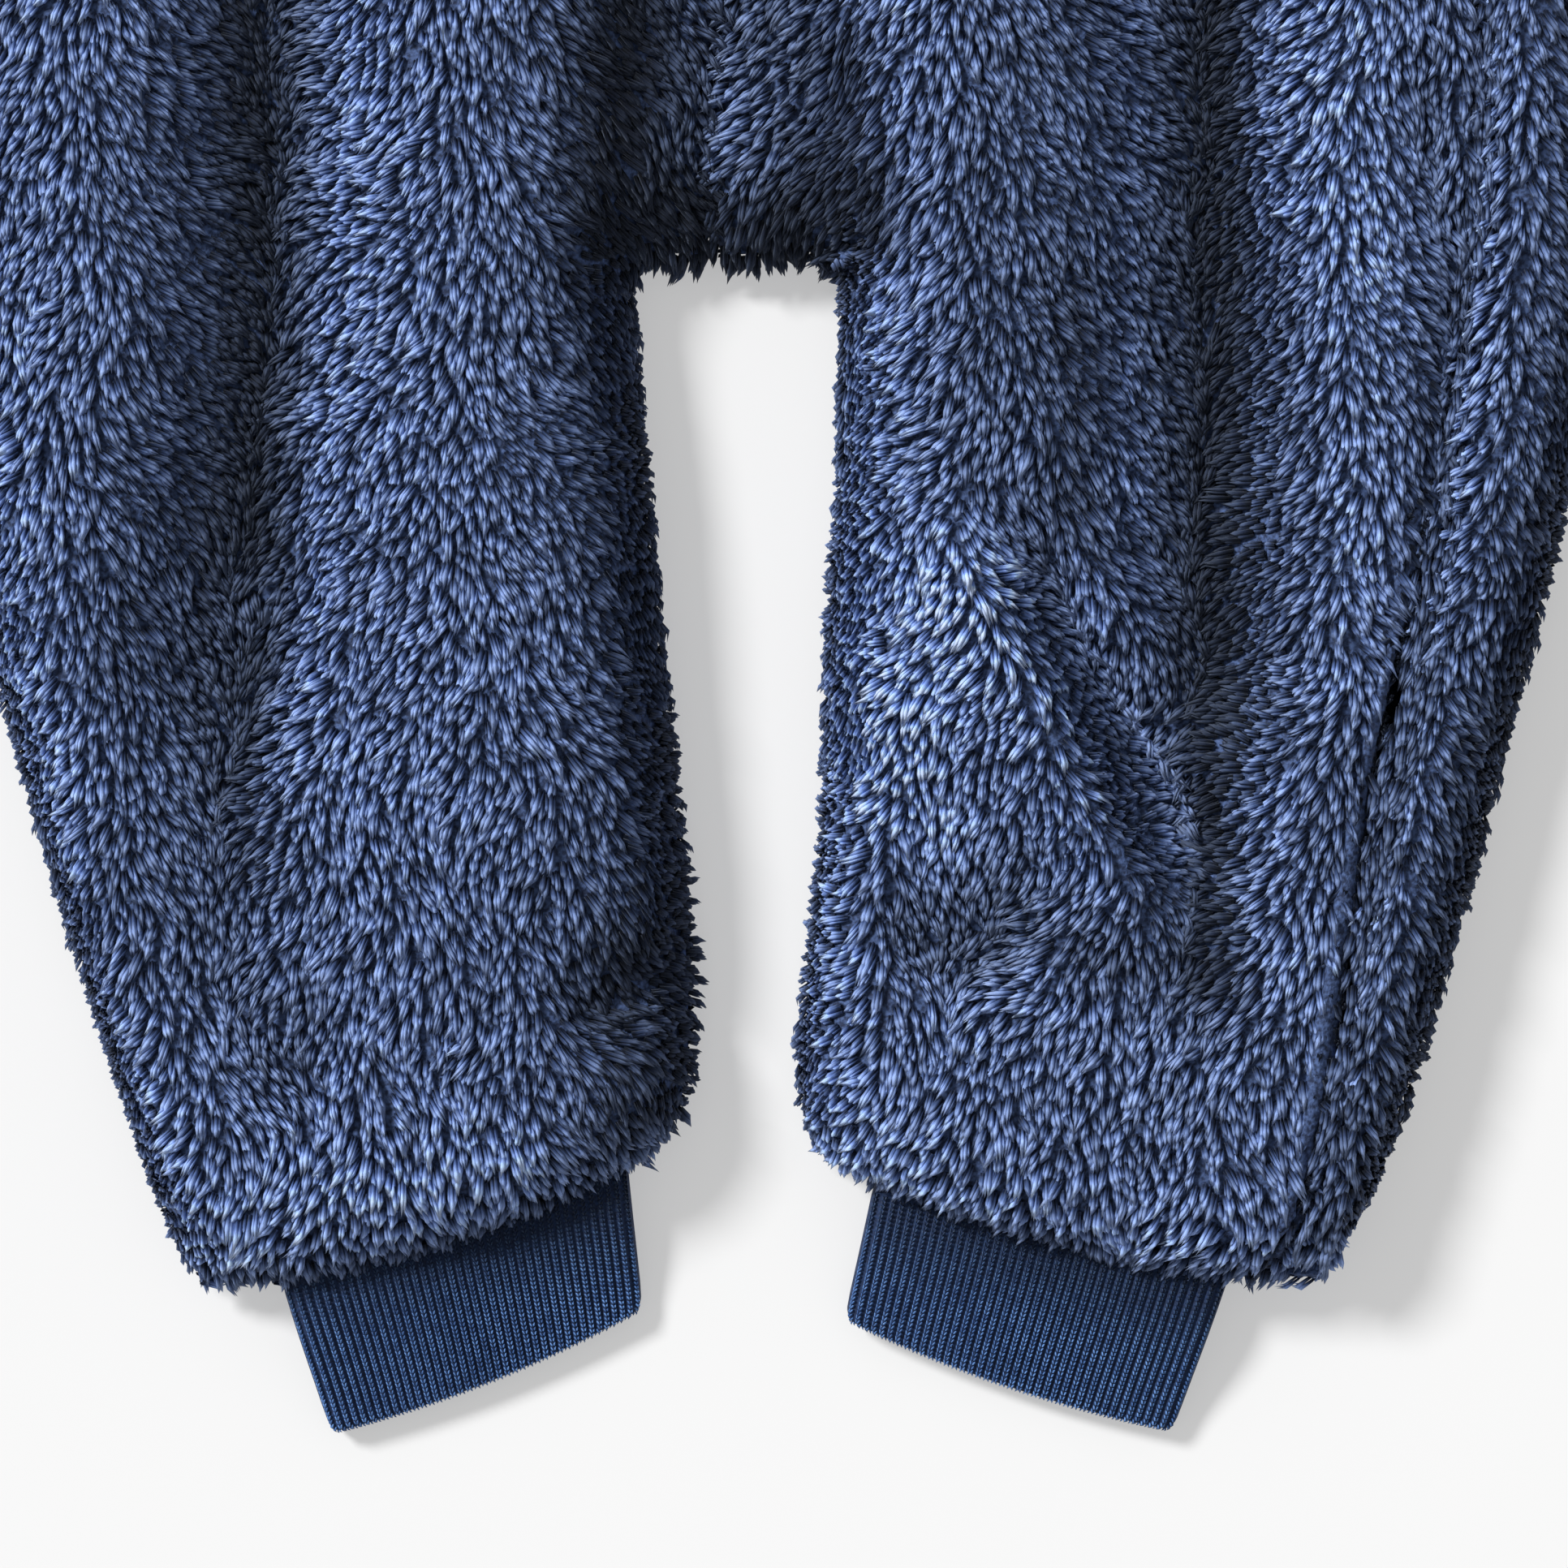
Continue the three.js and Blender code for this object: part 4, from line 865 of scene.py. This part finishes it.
def dip_mesh():
    ground = np.vstack([arrays(skins[panel])[0] for panel in ("front_left", "back_left")])
    ground = ground[ground[:, 2] > SEAM_Z]
    line = np.array(OUT_SEAM, float)
    walked = np.concatenate(([0], np.cumsum(np.linalg.norm(np.diff(line, axis=0), axis=1))))
    stations = np.linspace(walked[0], walked[-1] - 12, 88)
    plan = np.column_stack([np.interp(stations, walked, line[:, axis]) for axis in (0, 1)])
    heading = np.gradient(plan, axis=0)
    heading /= np.linalg.norm(heading, axis=1)[:, None]
    points, combs, grows = [], [], []
    for place, (dx, dy) in zip(plan, heading):
        near = np.linalg.norm(ground[:, :2] / MM - np.array([0, CROTCH_Y / MM]) - place, axis=1) < 5
        level = np.percentile(ground[near, 2], 75) + 0.6 * MM
        for across in (-DIP_HALF, 0, DIP_HALF):
            points.append(((place[0] + dy * across) * MM, (place[1] - dx * across) * MM + CROTCH_Y, level))
            combs.append((dx, dy, 0))
            grows.append((dx * 0.85, dy * 0.85, 0.5))
    faces = []
    for row in range(0, len(points) - 3, 3):
        faces += [(row + i, row + 3 + i, row + 4 + i, row + 1 + i) for i in (0, 1)]
    mesh = bpy.data.meshes.new("out_seam_source")
    mesh.from_pydata(points, [], faces)
    count = len(points)
    for name, kind, values in (
        ("comb", "FLOAT_VECTOR", np.array(combs)),
        ("grow", "FLOAT_VECTOR", np.array(grows)),
        ("length", "FLOAT", np.full(count, 0.95)),
        ("loose", "FLOAT", np.ones(count)),
        # painted shade: the locks in the dip of the seam are darkened
        ("shade", "FLOAT", np.full(count, 0.55)),
    ):
        layer = mesh.attributes.new(name, kind, "POINT")
        layer.data.foreach_set("vector" if kind == "FLOAT_VECTOR" else "value", values.astype(np.float32).ravel())
    return mesh


piles["back_left"].append(plant(dip_mesh(), "out_seam_pile", "leg", 40))

for panel, cloth in cloths.items():
    skin = skins[panel]
    area = sum(face.area for face in skin.polygons)
    corners = [corner for node in PANELS[panel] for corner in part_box(node)]
    width = max(c.x for c in corners) - min(c.x for c in corners)
    length = max(c.y for c in corners) - min(c.y for c in corners)
    for piece in (cloth, *piles[panel]):
        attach(piece, "garment")
    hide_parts(*PANELS[panel])

# %% [markdown]
# ## Rows of stitches and teeth
# Knit loops and zip teeth are one small shape, set again and again along a line. A short tree does that for
# both: it turns a chain of edges into a curve, divides it evenly, and puts the shape on each place, upright on
# the cloth and headed along the line.

# %% Tree that repeats a shape along lines
def row_tree():
    tree = bpy.data.node_groups.new("repeat_along_lines", "GeometryNodeTree")
    group_input(tree, "Geometry", "NodeSocketGeometry")
    names = {
        "shape": group_input(tree, "Shape", "NodeSocketObject"),
        "pitch": group_input(tree, "Pitch", "NodeSocketFloat", 0.001),
        "finish": group_input(tree, "Finish", "NodeSocketMaterial"),
    }
    tree.interface.new_socket("Geometry", in_out="OUTPUT", socket_type="NodeSocketGeometry")
    nodes, links = tree.nodes, tree.links
    start, end = nodes.new("NodeGroupInput"), nodes.new("NodeGroupOutput")

    lines = nodes.new("GeometryNodeMeshToCurve")
    even = nodes.new("GeometryNodeResampleCurve")
    even.mode = "LENGTH"
    links.new(start.outputs["Geometry"], lines.inputs["Mesh"])
    links.new(lines.outputs["Curve"], even.inputs["Curve"])
    links.new(start.outputs["Pitch"], even.inputs["Length"])
    heading = nodes.new("GeometryNodeInputTangent")
    outward = nodes.new("GeometryNodeInputNamedAttribute")
    outward.data_type = "FLOAT_VECTOR"
    outward.inputs["Name"].default_value = "outward"
    upright = nodes.new("FunctionNodeAlignRotationToVector")
    upright.axis = "Z"
    links.new(outward.outputs["Attribute"], upright.inputs["Vector"])
    turned_along = nodes.new("FunctionNodeAlignRotationToVector")
    turned_along.axis, turned_along.pivot_axis = "Y", "Z"
    links.new(upright.outputs["Rotation"], turned_along.inputs["Rotation"])
    links.new(heading.outputs["Tangent"], turned_along.inputs["Vector"])

    shape = nodes.new("GeometryNodeObjectInfo")
    links.new(start.outputs["Shape"], shape.inputs["Object"])
    repeat = nodes.new("GeometryNodeInstanceOnPoints")
    links.new(even.outputs["Curve"], repeat.inputs["Points"])
    links.new(shape.outputs["Geometry"], repeat.inputs["Instance"])
    links.new(turned_along.outputs["Rotation"], repeat.inputs["Rotation"])
    tone = nodes.new("GeometryNodeStoreNamedAttribute")
    tone.data_type, tone.domain = "FLOAT", "INSTANCE"
    tone.inputs["Name"].default_value = "tint"
    chance = nodes.new("FunctionNodeRandomValue")
    chance.data_type = "FLOAT"
    chance.inputs["Seed"].default_value = 4
    links.new(repeat.outputs["Instances"], tone.inputs["Geometry"])
    links.new([s for s in chance.outputs if s.enabled][0], tone.inputs["Value"])
    real = nodes.new("GeometryNodeRealizeInstances")
    finish = nodes.new("GeometryNodeSetMaterial")
    links.new(tone.outputs["Geometry"], real.inputs["Geometry"])
    links.new(real.outputs["Geometry"], finish.inputs["Geometry"])
    links.new(start.outputs["Finish"], finish.inputs["Material"])
    links.new(finish.outputs["Geometry"], end.inputs["Geometry"])
    return tree, names


repeat_along_lines, ROW_INPUTS = row_tree()


def repeat_shape(name, lines, shape, pitch, finish):
    """Sets a shape along lines, each a list of (place, outward direction)."""
    points = [place for line in lines for place, _ in line]
    outward = [value for line in lines for _, direction in line for value in direction]
    edges, start = [], 0
    for line in lines:
        edges += [(start + i, start + i + 1) for i in range(len(line) - 1)]
        start += len(line)
    mesh = bpy.data.meshes.new(name + "_lines")
    mesh.from_pydata(points, edges, [])
    mesh.attributes.new("outward", "FLOAT_VECTOR", "POINT").data.foreach_set("vector", outward)
    source = new_object(name + "_lines", mesh)
    modifier = source.modifiers.new("row", "NODES")
    modifier.node_group = repeat_along_lines
    for key, value in {"shape": shape, "pitch": pitch, "finish": finish}.items():
        modifier[ROW_INPUTS[key]] = value
    made = new_object(name, baked(source, name))
    made.data.shade_smooth()
    shade = made.data.attributes.new("shade", "FLOAT", "POINT")
    shade.data.foreach_set("value", np.ones(len(made.data.vertices)))
    print(name, "lines:", len(lines), "triangles:", sum(len(p.vertices) - 2 for p in made.data.polygons))
    return made


# %% [markdown]
# ## Rib knit finish
# The yarn is a tight blue cotton. Its colour is painted lighter on the tops of the loops and darker at their ends, as
# light and shade, and the ground between the ribs is painted almost black, as shade in the gaps. Every loop has a tone
# of its own, and a fine twist runs along the yarn.

# %% Knit materials
def yarn_finish(name, dark, light):
    made, nodes, links, body = shader(name)
    tint = attribute(nodes, "tint")
    tone = ramp(nodes, [(0.0, dark), (1.0, light)])
    place = nodes.new("ShaderNodeTexCoord")
    patch = nodes.new("ShaderNodeTexNoise")
    patch.inputs["Scale"].default_value = 70
    patch.inputs["Detail"].default_value = 2
    links.new(place.outputs["Object"], patch.inputs["Vector"])
    mixed = maths(nodes, links, "MULTIPLY_ADD", tint.outputs["Fac"], 0.6)
    links.new(maths(nodes, links, "MULTIPLY", patch.outputs["Fac"], 0.45), mixed.node.inputs[2])
    links.new(mixed, tone.inputs["Fac"])
    # painted shade: the yarn's colour darkens where a loop dives under the next, and the stored shade adds the painted
    # shadow under the hem
    painted_loop_shade = maths(nodes, links, "MULTIPLY_ADD", attribute(nodes, "along").outputs["Fac"], 1.35)
    painted_loop_shade.node.inputs[2].default_value = 0.05
    painted_loop_shade = maths(nodes, links, "MULTIPLY", painted_loop_shade, attribute(nodes, "shade").outputs["Fac"])
    deep = nodes.new("ShaderNodeVectorMath")
    deep.operation = "SCALE"
    links.new(tone.outputs["Color"], deep.inputs[0])
    links.new(painted_loop_shade, deep.inputs["Scale"])
    links.new(deep.outputs[0], body.inputs["Base Color"])
    twist = nodes.new("ShaderNodeTexNoise")
    twist.inputs["Scale"].default_value = 5200
    links.new(place.outputs["Object"], twist.inputs["Vector"])
    relief = nodes.new("ShaderNodeBump")
    relief.inputs["Strength"].default_value = 0.5
    relief.inputs["Distance"].default_value = 0.00012
    links.new(twist.outputs["Fac"], relief.inputs["Height"])
    links.new(relief.outputs["Normal"], body.inputs["Normal"])
    body.inputs["Roughness"].default_value = 0.55
    body.inputs["Specular IOR Level"].default_value = 0.35
    return made


rib_yarn = yarn_finish("rib_yarn", (0.008, 0.035, 0.13), (0.1, 0.21, 0.45))
# painted shade: the ground's near-black blue stands for the shade in the gaps between the ribs and inside the band
rib_ground = backing_finish("rib_ground", (0.003, 0.012, 0.045), (0.008, 0.03, 0.1), 0.0009)

# %% [markdown]
# ## Rib knit cuffs
# A cuff is a strip of rib folded double, so its free edge is round. It leaves the hem at the height of the
# seam and sinks to the floor. The ground is a flattened tube with a raised rib every two millimetres, and
# the loops are laid on the ribs afterwards.

# %% Ground of a cuff
CUFFS = {  # corners where it leaves the hem and at its free edge, mm from the crotch
    "ankle_cuff_left": (((29.3, -207), (108.5, -227.7)), ((23.3, -235.3), (97.2, -260.5))),
    "ankle_cuff_right": (((-102, -229), (-25.2, -200.7)), ((-92.2, -261), (-22, -233))),
    "wrist_cuff_left": (((301, 159), (352.5, 200)), ((322, 132), (371.5, 170))),
    "wrist_cuff_right": (((-352.5, 200), (-301, 159)), ((-371.5, 170), (-322, 132))),
}
CUFF_HALF = (4.0, 3.5)  # half its thickness at the hem and at the free edge
CUFF_LEVEL = 9.7  # height of its middle where it leaves the hem
CUFF_HIDDEN, CUFF_DROOP_START = 10.0, 4.0
RIB_PITCH, RIB_WALL = 2.07, 2.2
RIB_DEPTH = 0.75
EDGE_BOW, CORNER = 2.6, 2.6  # how far the free edge bows out, and how far its corners are cut back


def eased(t):
    t = np.clip(t, 0, 1)
    return t * t * (3 - 2 * t)


def rounded(t):
    return np.sqrt(1 - (1 - np.clip(t, 0, 1)) ** 2)


def cuff_place(name, along, across, upper, inset):
    """A place on the cuff in mm: how far along its axis, its share across, on which face, and how deep."""
    (a, b), (c, d) = np.array(CUFFS[name], float)
    axis = (c + d - a - b) / 2
    reach = np.linalg.norm(axis)
    axis /= reach
    t = along / reach
    left = a + (c - a) * max(t, 0) + axis * min(along, 0)
    right = b + (d - b) * max(t, 0) + axis * min(along, 0)
    width = np.linalg.norm(right - left)
    side = (right - left) / width
    half = CUFF_HALF[0] + (CUFF_HALF[1] - CUFF_HALF[0]) * np.clip(t, 0, 1)
    droop = eased((along - CUFF_DROOP_START) / (reach - CUFF_DROOP_START))
    middle = CUFF_LEVEL + (CUFF_HALF[1] - CUFF_LEVEL) * droop
    at = inset + (width - 2 * inset) * across
    rise = (half - inset) * rounded(min(at - inset, width - inset - at) / (half * 1.1))
    bowed_out = EDGE_BOW * 4 * (at / width) * (1 - at / width) * np.clip(t, 0, 1)
    from_side = min(at, width - at)
    cut_back = CORNER * (1 - rounded(from_side / CORNER)) * np.clip((along - reach + CORNER) / CORNER, 0, 1)
    plan = left + side * at + axis * (bowed_out - cut_back)
    return np.array([plan[0], plan[1] + CROTCH_Y / MM, middle + (rise if upper else -rise)]), reach, width


def cuff_profile(reach, steps=9):
    """(along, inset) from the hidden end over the rounded free edge and back inside."""
    bend = RIB_WALL / 2
    outer = [(x, 0.0) for x in np.linspace(-CUFF_HIDDEN, reach - bend, steps)]
    turn = [(reach - bend + bend * math.sin(v), bend * (1 - math.cos(v))) for v in np.linspace(0, math.pi, 7)[1:-1]]
    inner = [(x, RIB_WALL) for x in np.linspace(reach - bend, -CUFF_HIDDEN, 5)]
    return outer + turn + inner


def cuff_ground(name):
    _, reach, width = cuff_place(name, 0, 0, True, 0)
    ribs = round(width / RIB_PITCH)
    upper = [(i / (ribs * 4), True, abs(math.sin(math.pi * i / 4))) for i in range(ribs * 4)]
    lower = [((1 + math.cos(math.pi * i / 12)) / 2, False, 1.0) for i in range(12)]
    profile = cuff_profile(reach)
    work = bmesh.new()
    rings = []
    for along, inset in profile:
        ring = []
        for across, is_upper, height in upper + lower:
            place, _, _ = cuff_place(name, along, across, is_upper, inset)
            if is_upper and 0 < across < 1:
                place[2] -= RIB_DEPTH * (1 - height) * (1 - inset / RIB_WALL)
            ring.append(work.verts.new(place * MM))
        rings.append(ring)
    count = len(rings[0])
    for one, two in zip(rings, rings[1:] + rings[:1]):
        for i in range(count):
            n = (i + 1) % count
            work.faces.new((one[i], one[n], two[n], two[i]))
    bmesh.ops.recalc_face_normals(work, faces=work.faces)
    mesh = bpy.data.meshes.new(name + "_ground")
    work.to_mesh(mesh)
    work.free()
    mesh.materials.append(rib_ground)
    mesh.shade_smooth()
    return new_object(name + "_ground", mesh)


# %% [markdown]
# A loop of plain knit looks like a V. Its two legs are tapered yarns that rise in the middle and dive under
# the next loop. Rows of them, one a millimetre, make the little chains that show on each rib.

# %% Loops of yarn
COURSE = 1.02 * MM


def loop_shape(name, rings):
    points, faces, lit = [], [], []
    for side in (-1, 1):
        centres = [np.array([side * x, y, z]) for x, y, z, _ in rings]
        starts = []
        for index, (_, _, _, radius) in enumerate(rings):
            starts.append(len(points))
            lit += [0.0 if radius == 0 else 1.0] * (1 if radius == 0 else 3)
            if radius == 0:
                points.append(tuple(centres[index] * MM))
                continue
            step = centres[min(index + 1, len(rings) - 1)] - centres[max(index - 1, 0)]
            step /= np.linalg.norm(step)
            flat = np.cross(step, [0, 0, 1.0])
            flat /= np.linalg.norm(flat)
            up = np.cross(flat, step)
            for corner in range(3):
                angle = 2 * math.pi * corner / 3 + math.pi / 2
                points.append(tuple((centres[index] + radius * (math.cos(angle) * flat + math.sin(angle) * up)) * MM))
        for index in range(len(rings) - 1):
            a, b = starts[index], starts[index + 1]
            for corner in range(3):
                n = (corner + 1) % 3
                if rings[index][3] == 0:
                    faces.append((a, b + corner, b + n))
                elif rings[index + 1][3] == 0:
                    faces.append((a + n, a + corner, b))
                else:
                    faces.append((a + n, a + corner, b + corner, b + n))
    mesh = bpy.data.meshes.new(name)
    mesh.from_pydata(points, [], faces)
    # along holds the lit values: one on the raised rings, nought at the ends where the yarn dives, which paint shade
    # into its colour
    mesh.attributes.new("along", "FLOAT", "POINT").data.foreach_set("value", lit)
    work = bmesh.new()
    work.from_mesh(mesh)
    bmesh.ops.recalc_face_normals(work, faces=work.faces)
    work.to_mesh(mesh)
    work.free()
    mesh.shade_smooth()
    return bpy.data.objects.new(name, mesh)


fine_loop = loop_shape(
    "fine_loop", [(0.6, -0.72, -0.25, 0), (0.5, -0.34, 0.14, 0.24), (0.26, 0.2, 0.18, 0.25), (0.04, 0.62, -0.22, 0)]
)
plain_loop = loop_shape("plain_loop", [(0.6, -0.76, -0.25, 0), (0.38, -0.05, 0.2, 0.32), (0.06, 0.66, -0.2, 0)])


def cuff_lines(name):
    _, reach, width = cuff_place(name, 0, 0, True, 0)
    ribs = round(width / RIB_PITCH)
    profile = [(along, inset) for along, inset in cuff_profile(reach, 9) if along > -3 and inset < RIB_WALL]
    lines = []
    for rib in range(ribs):
        across = (rib + 0.5) / ribs
        line = []
        for along, inset in profile:
            place, _, _ = cuff_place(name, along, across, True, inset)
            deeper, _, _ = cuff_place(name, along - 0.02, across, True, min(inset + 0.6, RIB_WALL + 0.3))
            out = place - deeper
            line.append((tuple(place * MM), tuple(out / max(np.linalg.norm(out), 1e-9))))
        lines.append(line)
    return lines


def shaded_by_hem(loops, name):
    """The first millimetres of a cuff get a painted shadow of the pile that hangs over them."""
    (a, b), (c, d) = np.array(CUFFS[name], float)
    axis = (c + d - a - b) / np.linalg.norm(c + d - a - b)
    points, _ = arrays(loops.data)
    along = (points[:, :2] / MM - np.array([0, CROTCH_Y / MM]) - (a + b) / 2) @ axis
    loops.data.attributes["shade"].data.foreach_set("value", 0.12 + 0.88 * eased((along + 1) / 24))


knit = {}
for name in CUFFS:
    ground = cuff_ground(name)
    shape = fine_loop if name.startswith("ankle") else plain_loop
    loops = repeat_shape(name + "_loops", cuff_lines(name), shape, COURSE, rib_yarn)
    _, reach, width = cuff_place(name, 0, 0, True, 0)
    shaded_by_hem(loops, name)
    knit[name] = (ground, loops, 2 * width * MM, (reach + CUFF_HIDDEN) * MM)

for name, (ground, loops, width, length) in knit.items():
    for piece in (ground, loops):
        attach(piece, "garment")
    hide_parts(name)

# %% [markdown]
# ## Neckband
# The band is a strip of the same rib, folded double, that stands round the neck from one side of the zip to
# the other. Its ground is the solid's own surface. At the front the wales run on the raised ribs, and at the
# back, where the band shows its inside, they are spaced by the same pitch.

# %% Neckband ground and wales
BAND_HEIGHT, BAND_LEAN = 24.0, 0.87  # a wale's free end is this much higher, and this much nearer the middle
BAND_GROUND_IN = 0.3 * MM


def band_parts():
    work = bmesh.new()
    work.from_mesh(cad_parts["neckband"].data)
    bmesh.ops.remove_doubles(work, verts=work.verts, dist=2e-6)
    crests, inside = [], []
    for edge in work.edges:
        seam, free = sorted((vertex.co.copy() for vertex in edge.verts), key=lambda place: place.y)
        if abs(free.y - seam.y - BAND_HEIGHT * MM) > 0.4 * MM or abs(free.x - BAND_LEAN * seam.x) > 0.3 * MM:
            continue
        out = sum((face.normal for face in edge.link_faces), Vector()).normalized()
        if edge.calc_face_angle_signed(0) > 0.9 and out.z > 0.2:
            crests.append((seam, free, out))
        elif out.z > 0.9 and seam.z < SEAM_Z:
            inside.append((seam, free))
    for vertex in work.verts:
        vertex.co -= vertex.normal * BAND_GROUND_IN
    mesh = bpy.data.meshes.new("neckband_ground")
    work.to_mesh(mesh)
    work.free()
    mesh.materials.clear()
    mesh.materials.append(rib_ground)
    return new_object("neckband_ground", mesh), crests, sorted(inside, key=lambda pair: pair[0].x)


band_ground, crests, inside = band_parts()
band_lines = [[(tuple(place - out * 0.1 * MM), tuple(out)) for place in (seam, free)] for seam, free, out in crests]
seams, frees = (np.array([pair[end] for pair in inside]) for end in (0, 1))
walked = np.concatenate(([0], np.cumsum(np.linalg.norm(np.diff(seams, axis=0), axis=1))))
for place in np.arange(walked[0], walked[-1], RIB_PITCH * MM):
    ends = [np.array([np.interp(place, walked, row[:, axis]) for axis in range(3)]) for row in (seams, frees)]
    band_lines.append([(tuple(end), (0.0, 0.0, 1.0)) for end in ends])
band_loops = repeat_shape("neckband_loops", band_lines, plain_loop, COURSE * 1.3, rib_yarn)
for piece in (band_ground, band_loops):
    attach(piece, "garment")
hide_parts("neckband")
print("wales on the neckband:", len(crests), "in front and", len(band_lines) - len(crests), "inside the back")

# %% [markdown]
# ## Zip
# Two woven tapes lie in the groove between the fronts. Each has a corded inner edge that carries the teeth,
# and a fine herringbone weave. The teeth are small metal blocks, those of one side set between the other's.

# %% Tape, teeth and metal
def tape_finish(name, colour):
    made, nodes, links, body = shader(name)
    place = nodes.new("ShaderNodeTexCoord")
    weave = nodes.new("ShaderNodeTexWave")
    weave.bands_direction = "DIAGONAL"
    weave.inputs["Scale"].default_value = 260
    weave.inputs["Distortion"].default_value = 1.2
    links.new(place.outputs["Object"], weave.inputs["Vector"])
    tone = ramp(nodes, [(0.0, tuple(v * 0.5 for v in colour)), (1.0, tuple(v * 1.5 for v in colour))])
    links.new(weave.outputs["Fac"], tone.inputs["Fac"])
    links.new(tone.outputs["Color"], body.inputs["Base Color"])
    relief = nodes.new("ShaderNodeBump")
    relief.inputs["Strength"].default_value = 0.6
    relief.inputs["Distance"].default_value = 0.0002
    links.new(weave.outputs["Fac"], relief.inputs["Height"])
    links.new(relief.outputs["Normal"], body.inputs["Normal"])
    body.inputs["Roughness"].default_value = 0.8
    return made


def metal_finish(name, colour, roughness):
    made, nodes, links, body = shader(name)
    place = nodes.new("ShaderNodeTexCoord")
    wear = nodes.new("ShaderNodeTexNoise")
    wear.inputs["Scale"].default_value = 900
    wear.inputs["Detail"].default_value = 3
    links.new(place.outputs["Object"], wear.inputs["Vector"])
    rough = ramp(nodes, [(0.3, (roughness * 0.8,) * 3), (0.7, (roughness * 1.3,) * 3)])
    links.new(wear.outputs["Fac"], rough.inputs["Fac"])
    links.new(rough.outputs["Color"], body.inputs["Roughness"])
    body.inputs["Base Color"].default_value = (*colour, 1)
    body.inputs["Metallic"].default_value = 1.0
    return made


woven_tape = tape_finish("woven_tape", (0.02, 0.05, 0.15))
nickel = metal_finish("nickel", (0.62, 0.61, 0.58), 0.3)

TAPE_PROFILE = [  # from the centre line outwards, and above the tape's top, mm
    (0.15, -1.0), (0.15, 0.1), (0.5, 0.32), (1.1, 0.32), (1.5, 0.05), (1.8, -0.1), (5, -0.25), (9, -0.42),
    (12.6, -0.6), (13, -0.8), (12.6, -1.7), (9, -1.55), (5, -1.4), (1.5, -1.2),
]
TOOTH_PITCH, TOOTH_LINE_X = 1.7 * MM, 0.8 * MM
TEETH_FROM, TEETH_TO = -14 * MM, 287 * MM


def tape_heights(node):
    places = np.array([vertex.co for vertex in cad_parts[node].data.vertices])
    near = places[np.abs(places[:, 0]) < 1 * MM]
    stations = np.unique(near[:, 1].round(6))
    return stations, np.array([near[np.abs(near[:, 1] - y) < 1e-5, 2].max() for y in stations])


def tape_mesh(node, side):
    stations, tops = tape_heights(node)
    work = bmesh.new()
    rings = []
    for y in np.linspace(stations[0], stations[-1], 110):
        top = np.interp(y, stations, tops)
        ripple = 0.05 * math.sin(y / MM * 1.1)
        rings.append([work.verts.new((side * x * MM, y, top + (z + ripple) * MM)) for x, z in TAPE_PROFILE])
    count = len(TAPE_PROFILE)
    for one, two in zip(rings, rings[1:]):
        for i in range(count):
            work.faces.new((one[i], one[(i + 1) % count], two[(i + 1) % count], two[i]))
    work.faces.new(rings[0][::-1])
    work.faces.new(rings[-1])
    bmesh.ops.recalc_face_normals(work, faces=work.faces)
    mesh = bpy.data.meshes.new(node + "_weave")
    work.to_mesh(mesh)
    work.free()
    mesh.materials.append(woven_tape)
    mesh.shade_smooth()
    return new_object(node + "_weave", mesh)


def tooth_shape():
    work = bmesh.new()
    bmesh.ops.create_cube(work, size=1)
    for vertex in work.verts:
        narrow = 0.62 if vertex.co.z > 0 else 1.0
        vertex.co = Vector((vertex.co.x * 2.3 * (0.86 if vertex.co.z > 0 else 1), vertex.co.y * 0.95 * narrow, vertex.co.z)) * MM
    bmesh.ops.bevel(work, geom=work.edges[:], offset=0.12 * MM, segments=1, affect="EDGES")
    mesh = bpy.data.meshes.new("tooth")
    work.to_mesh(mesh)
    work.free()
    return bpy.data.objects.new("tooth", mesh)


tooth = tooth_shape()
for word, side in (("left", 1), ("right", -1)):
    node = "zip_tape_" + word
    tape = tape_mesh(node, side)
    stations, tops = tape_heights(node)
    start = TEETH_FROM + (TOOTH_PITCH / 2 if side > 0 else 0)
    line = []
    for y in np.linspace(start, TEETH_TO + start - TEETH_FROM, 40):
        line.append(((side * TOOTH_LINE_X, y, np.interp(y, stations, tops) + 0.05 * MM), (0.0, 0.0, 1.0)))
    teeth = repeat_shape(f"zip_teeth_{word}", [line], tooth, TOOTH_PITCH, nickel)
    for piece in (tape, teeth):
        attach(piece, "garment")
    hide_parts(node)
    length = (stations[-1] - stations[0])

for node in ("zip_slider", "pull_tab"):
    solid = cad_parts[node]
    solid.data.materials.clear()
    solid.data.materials.append(nickel)
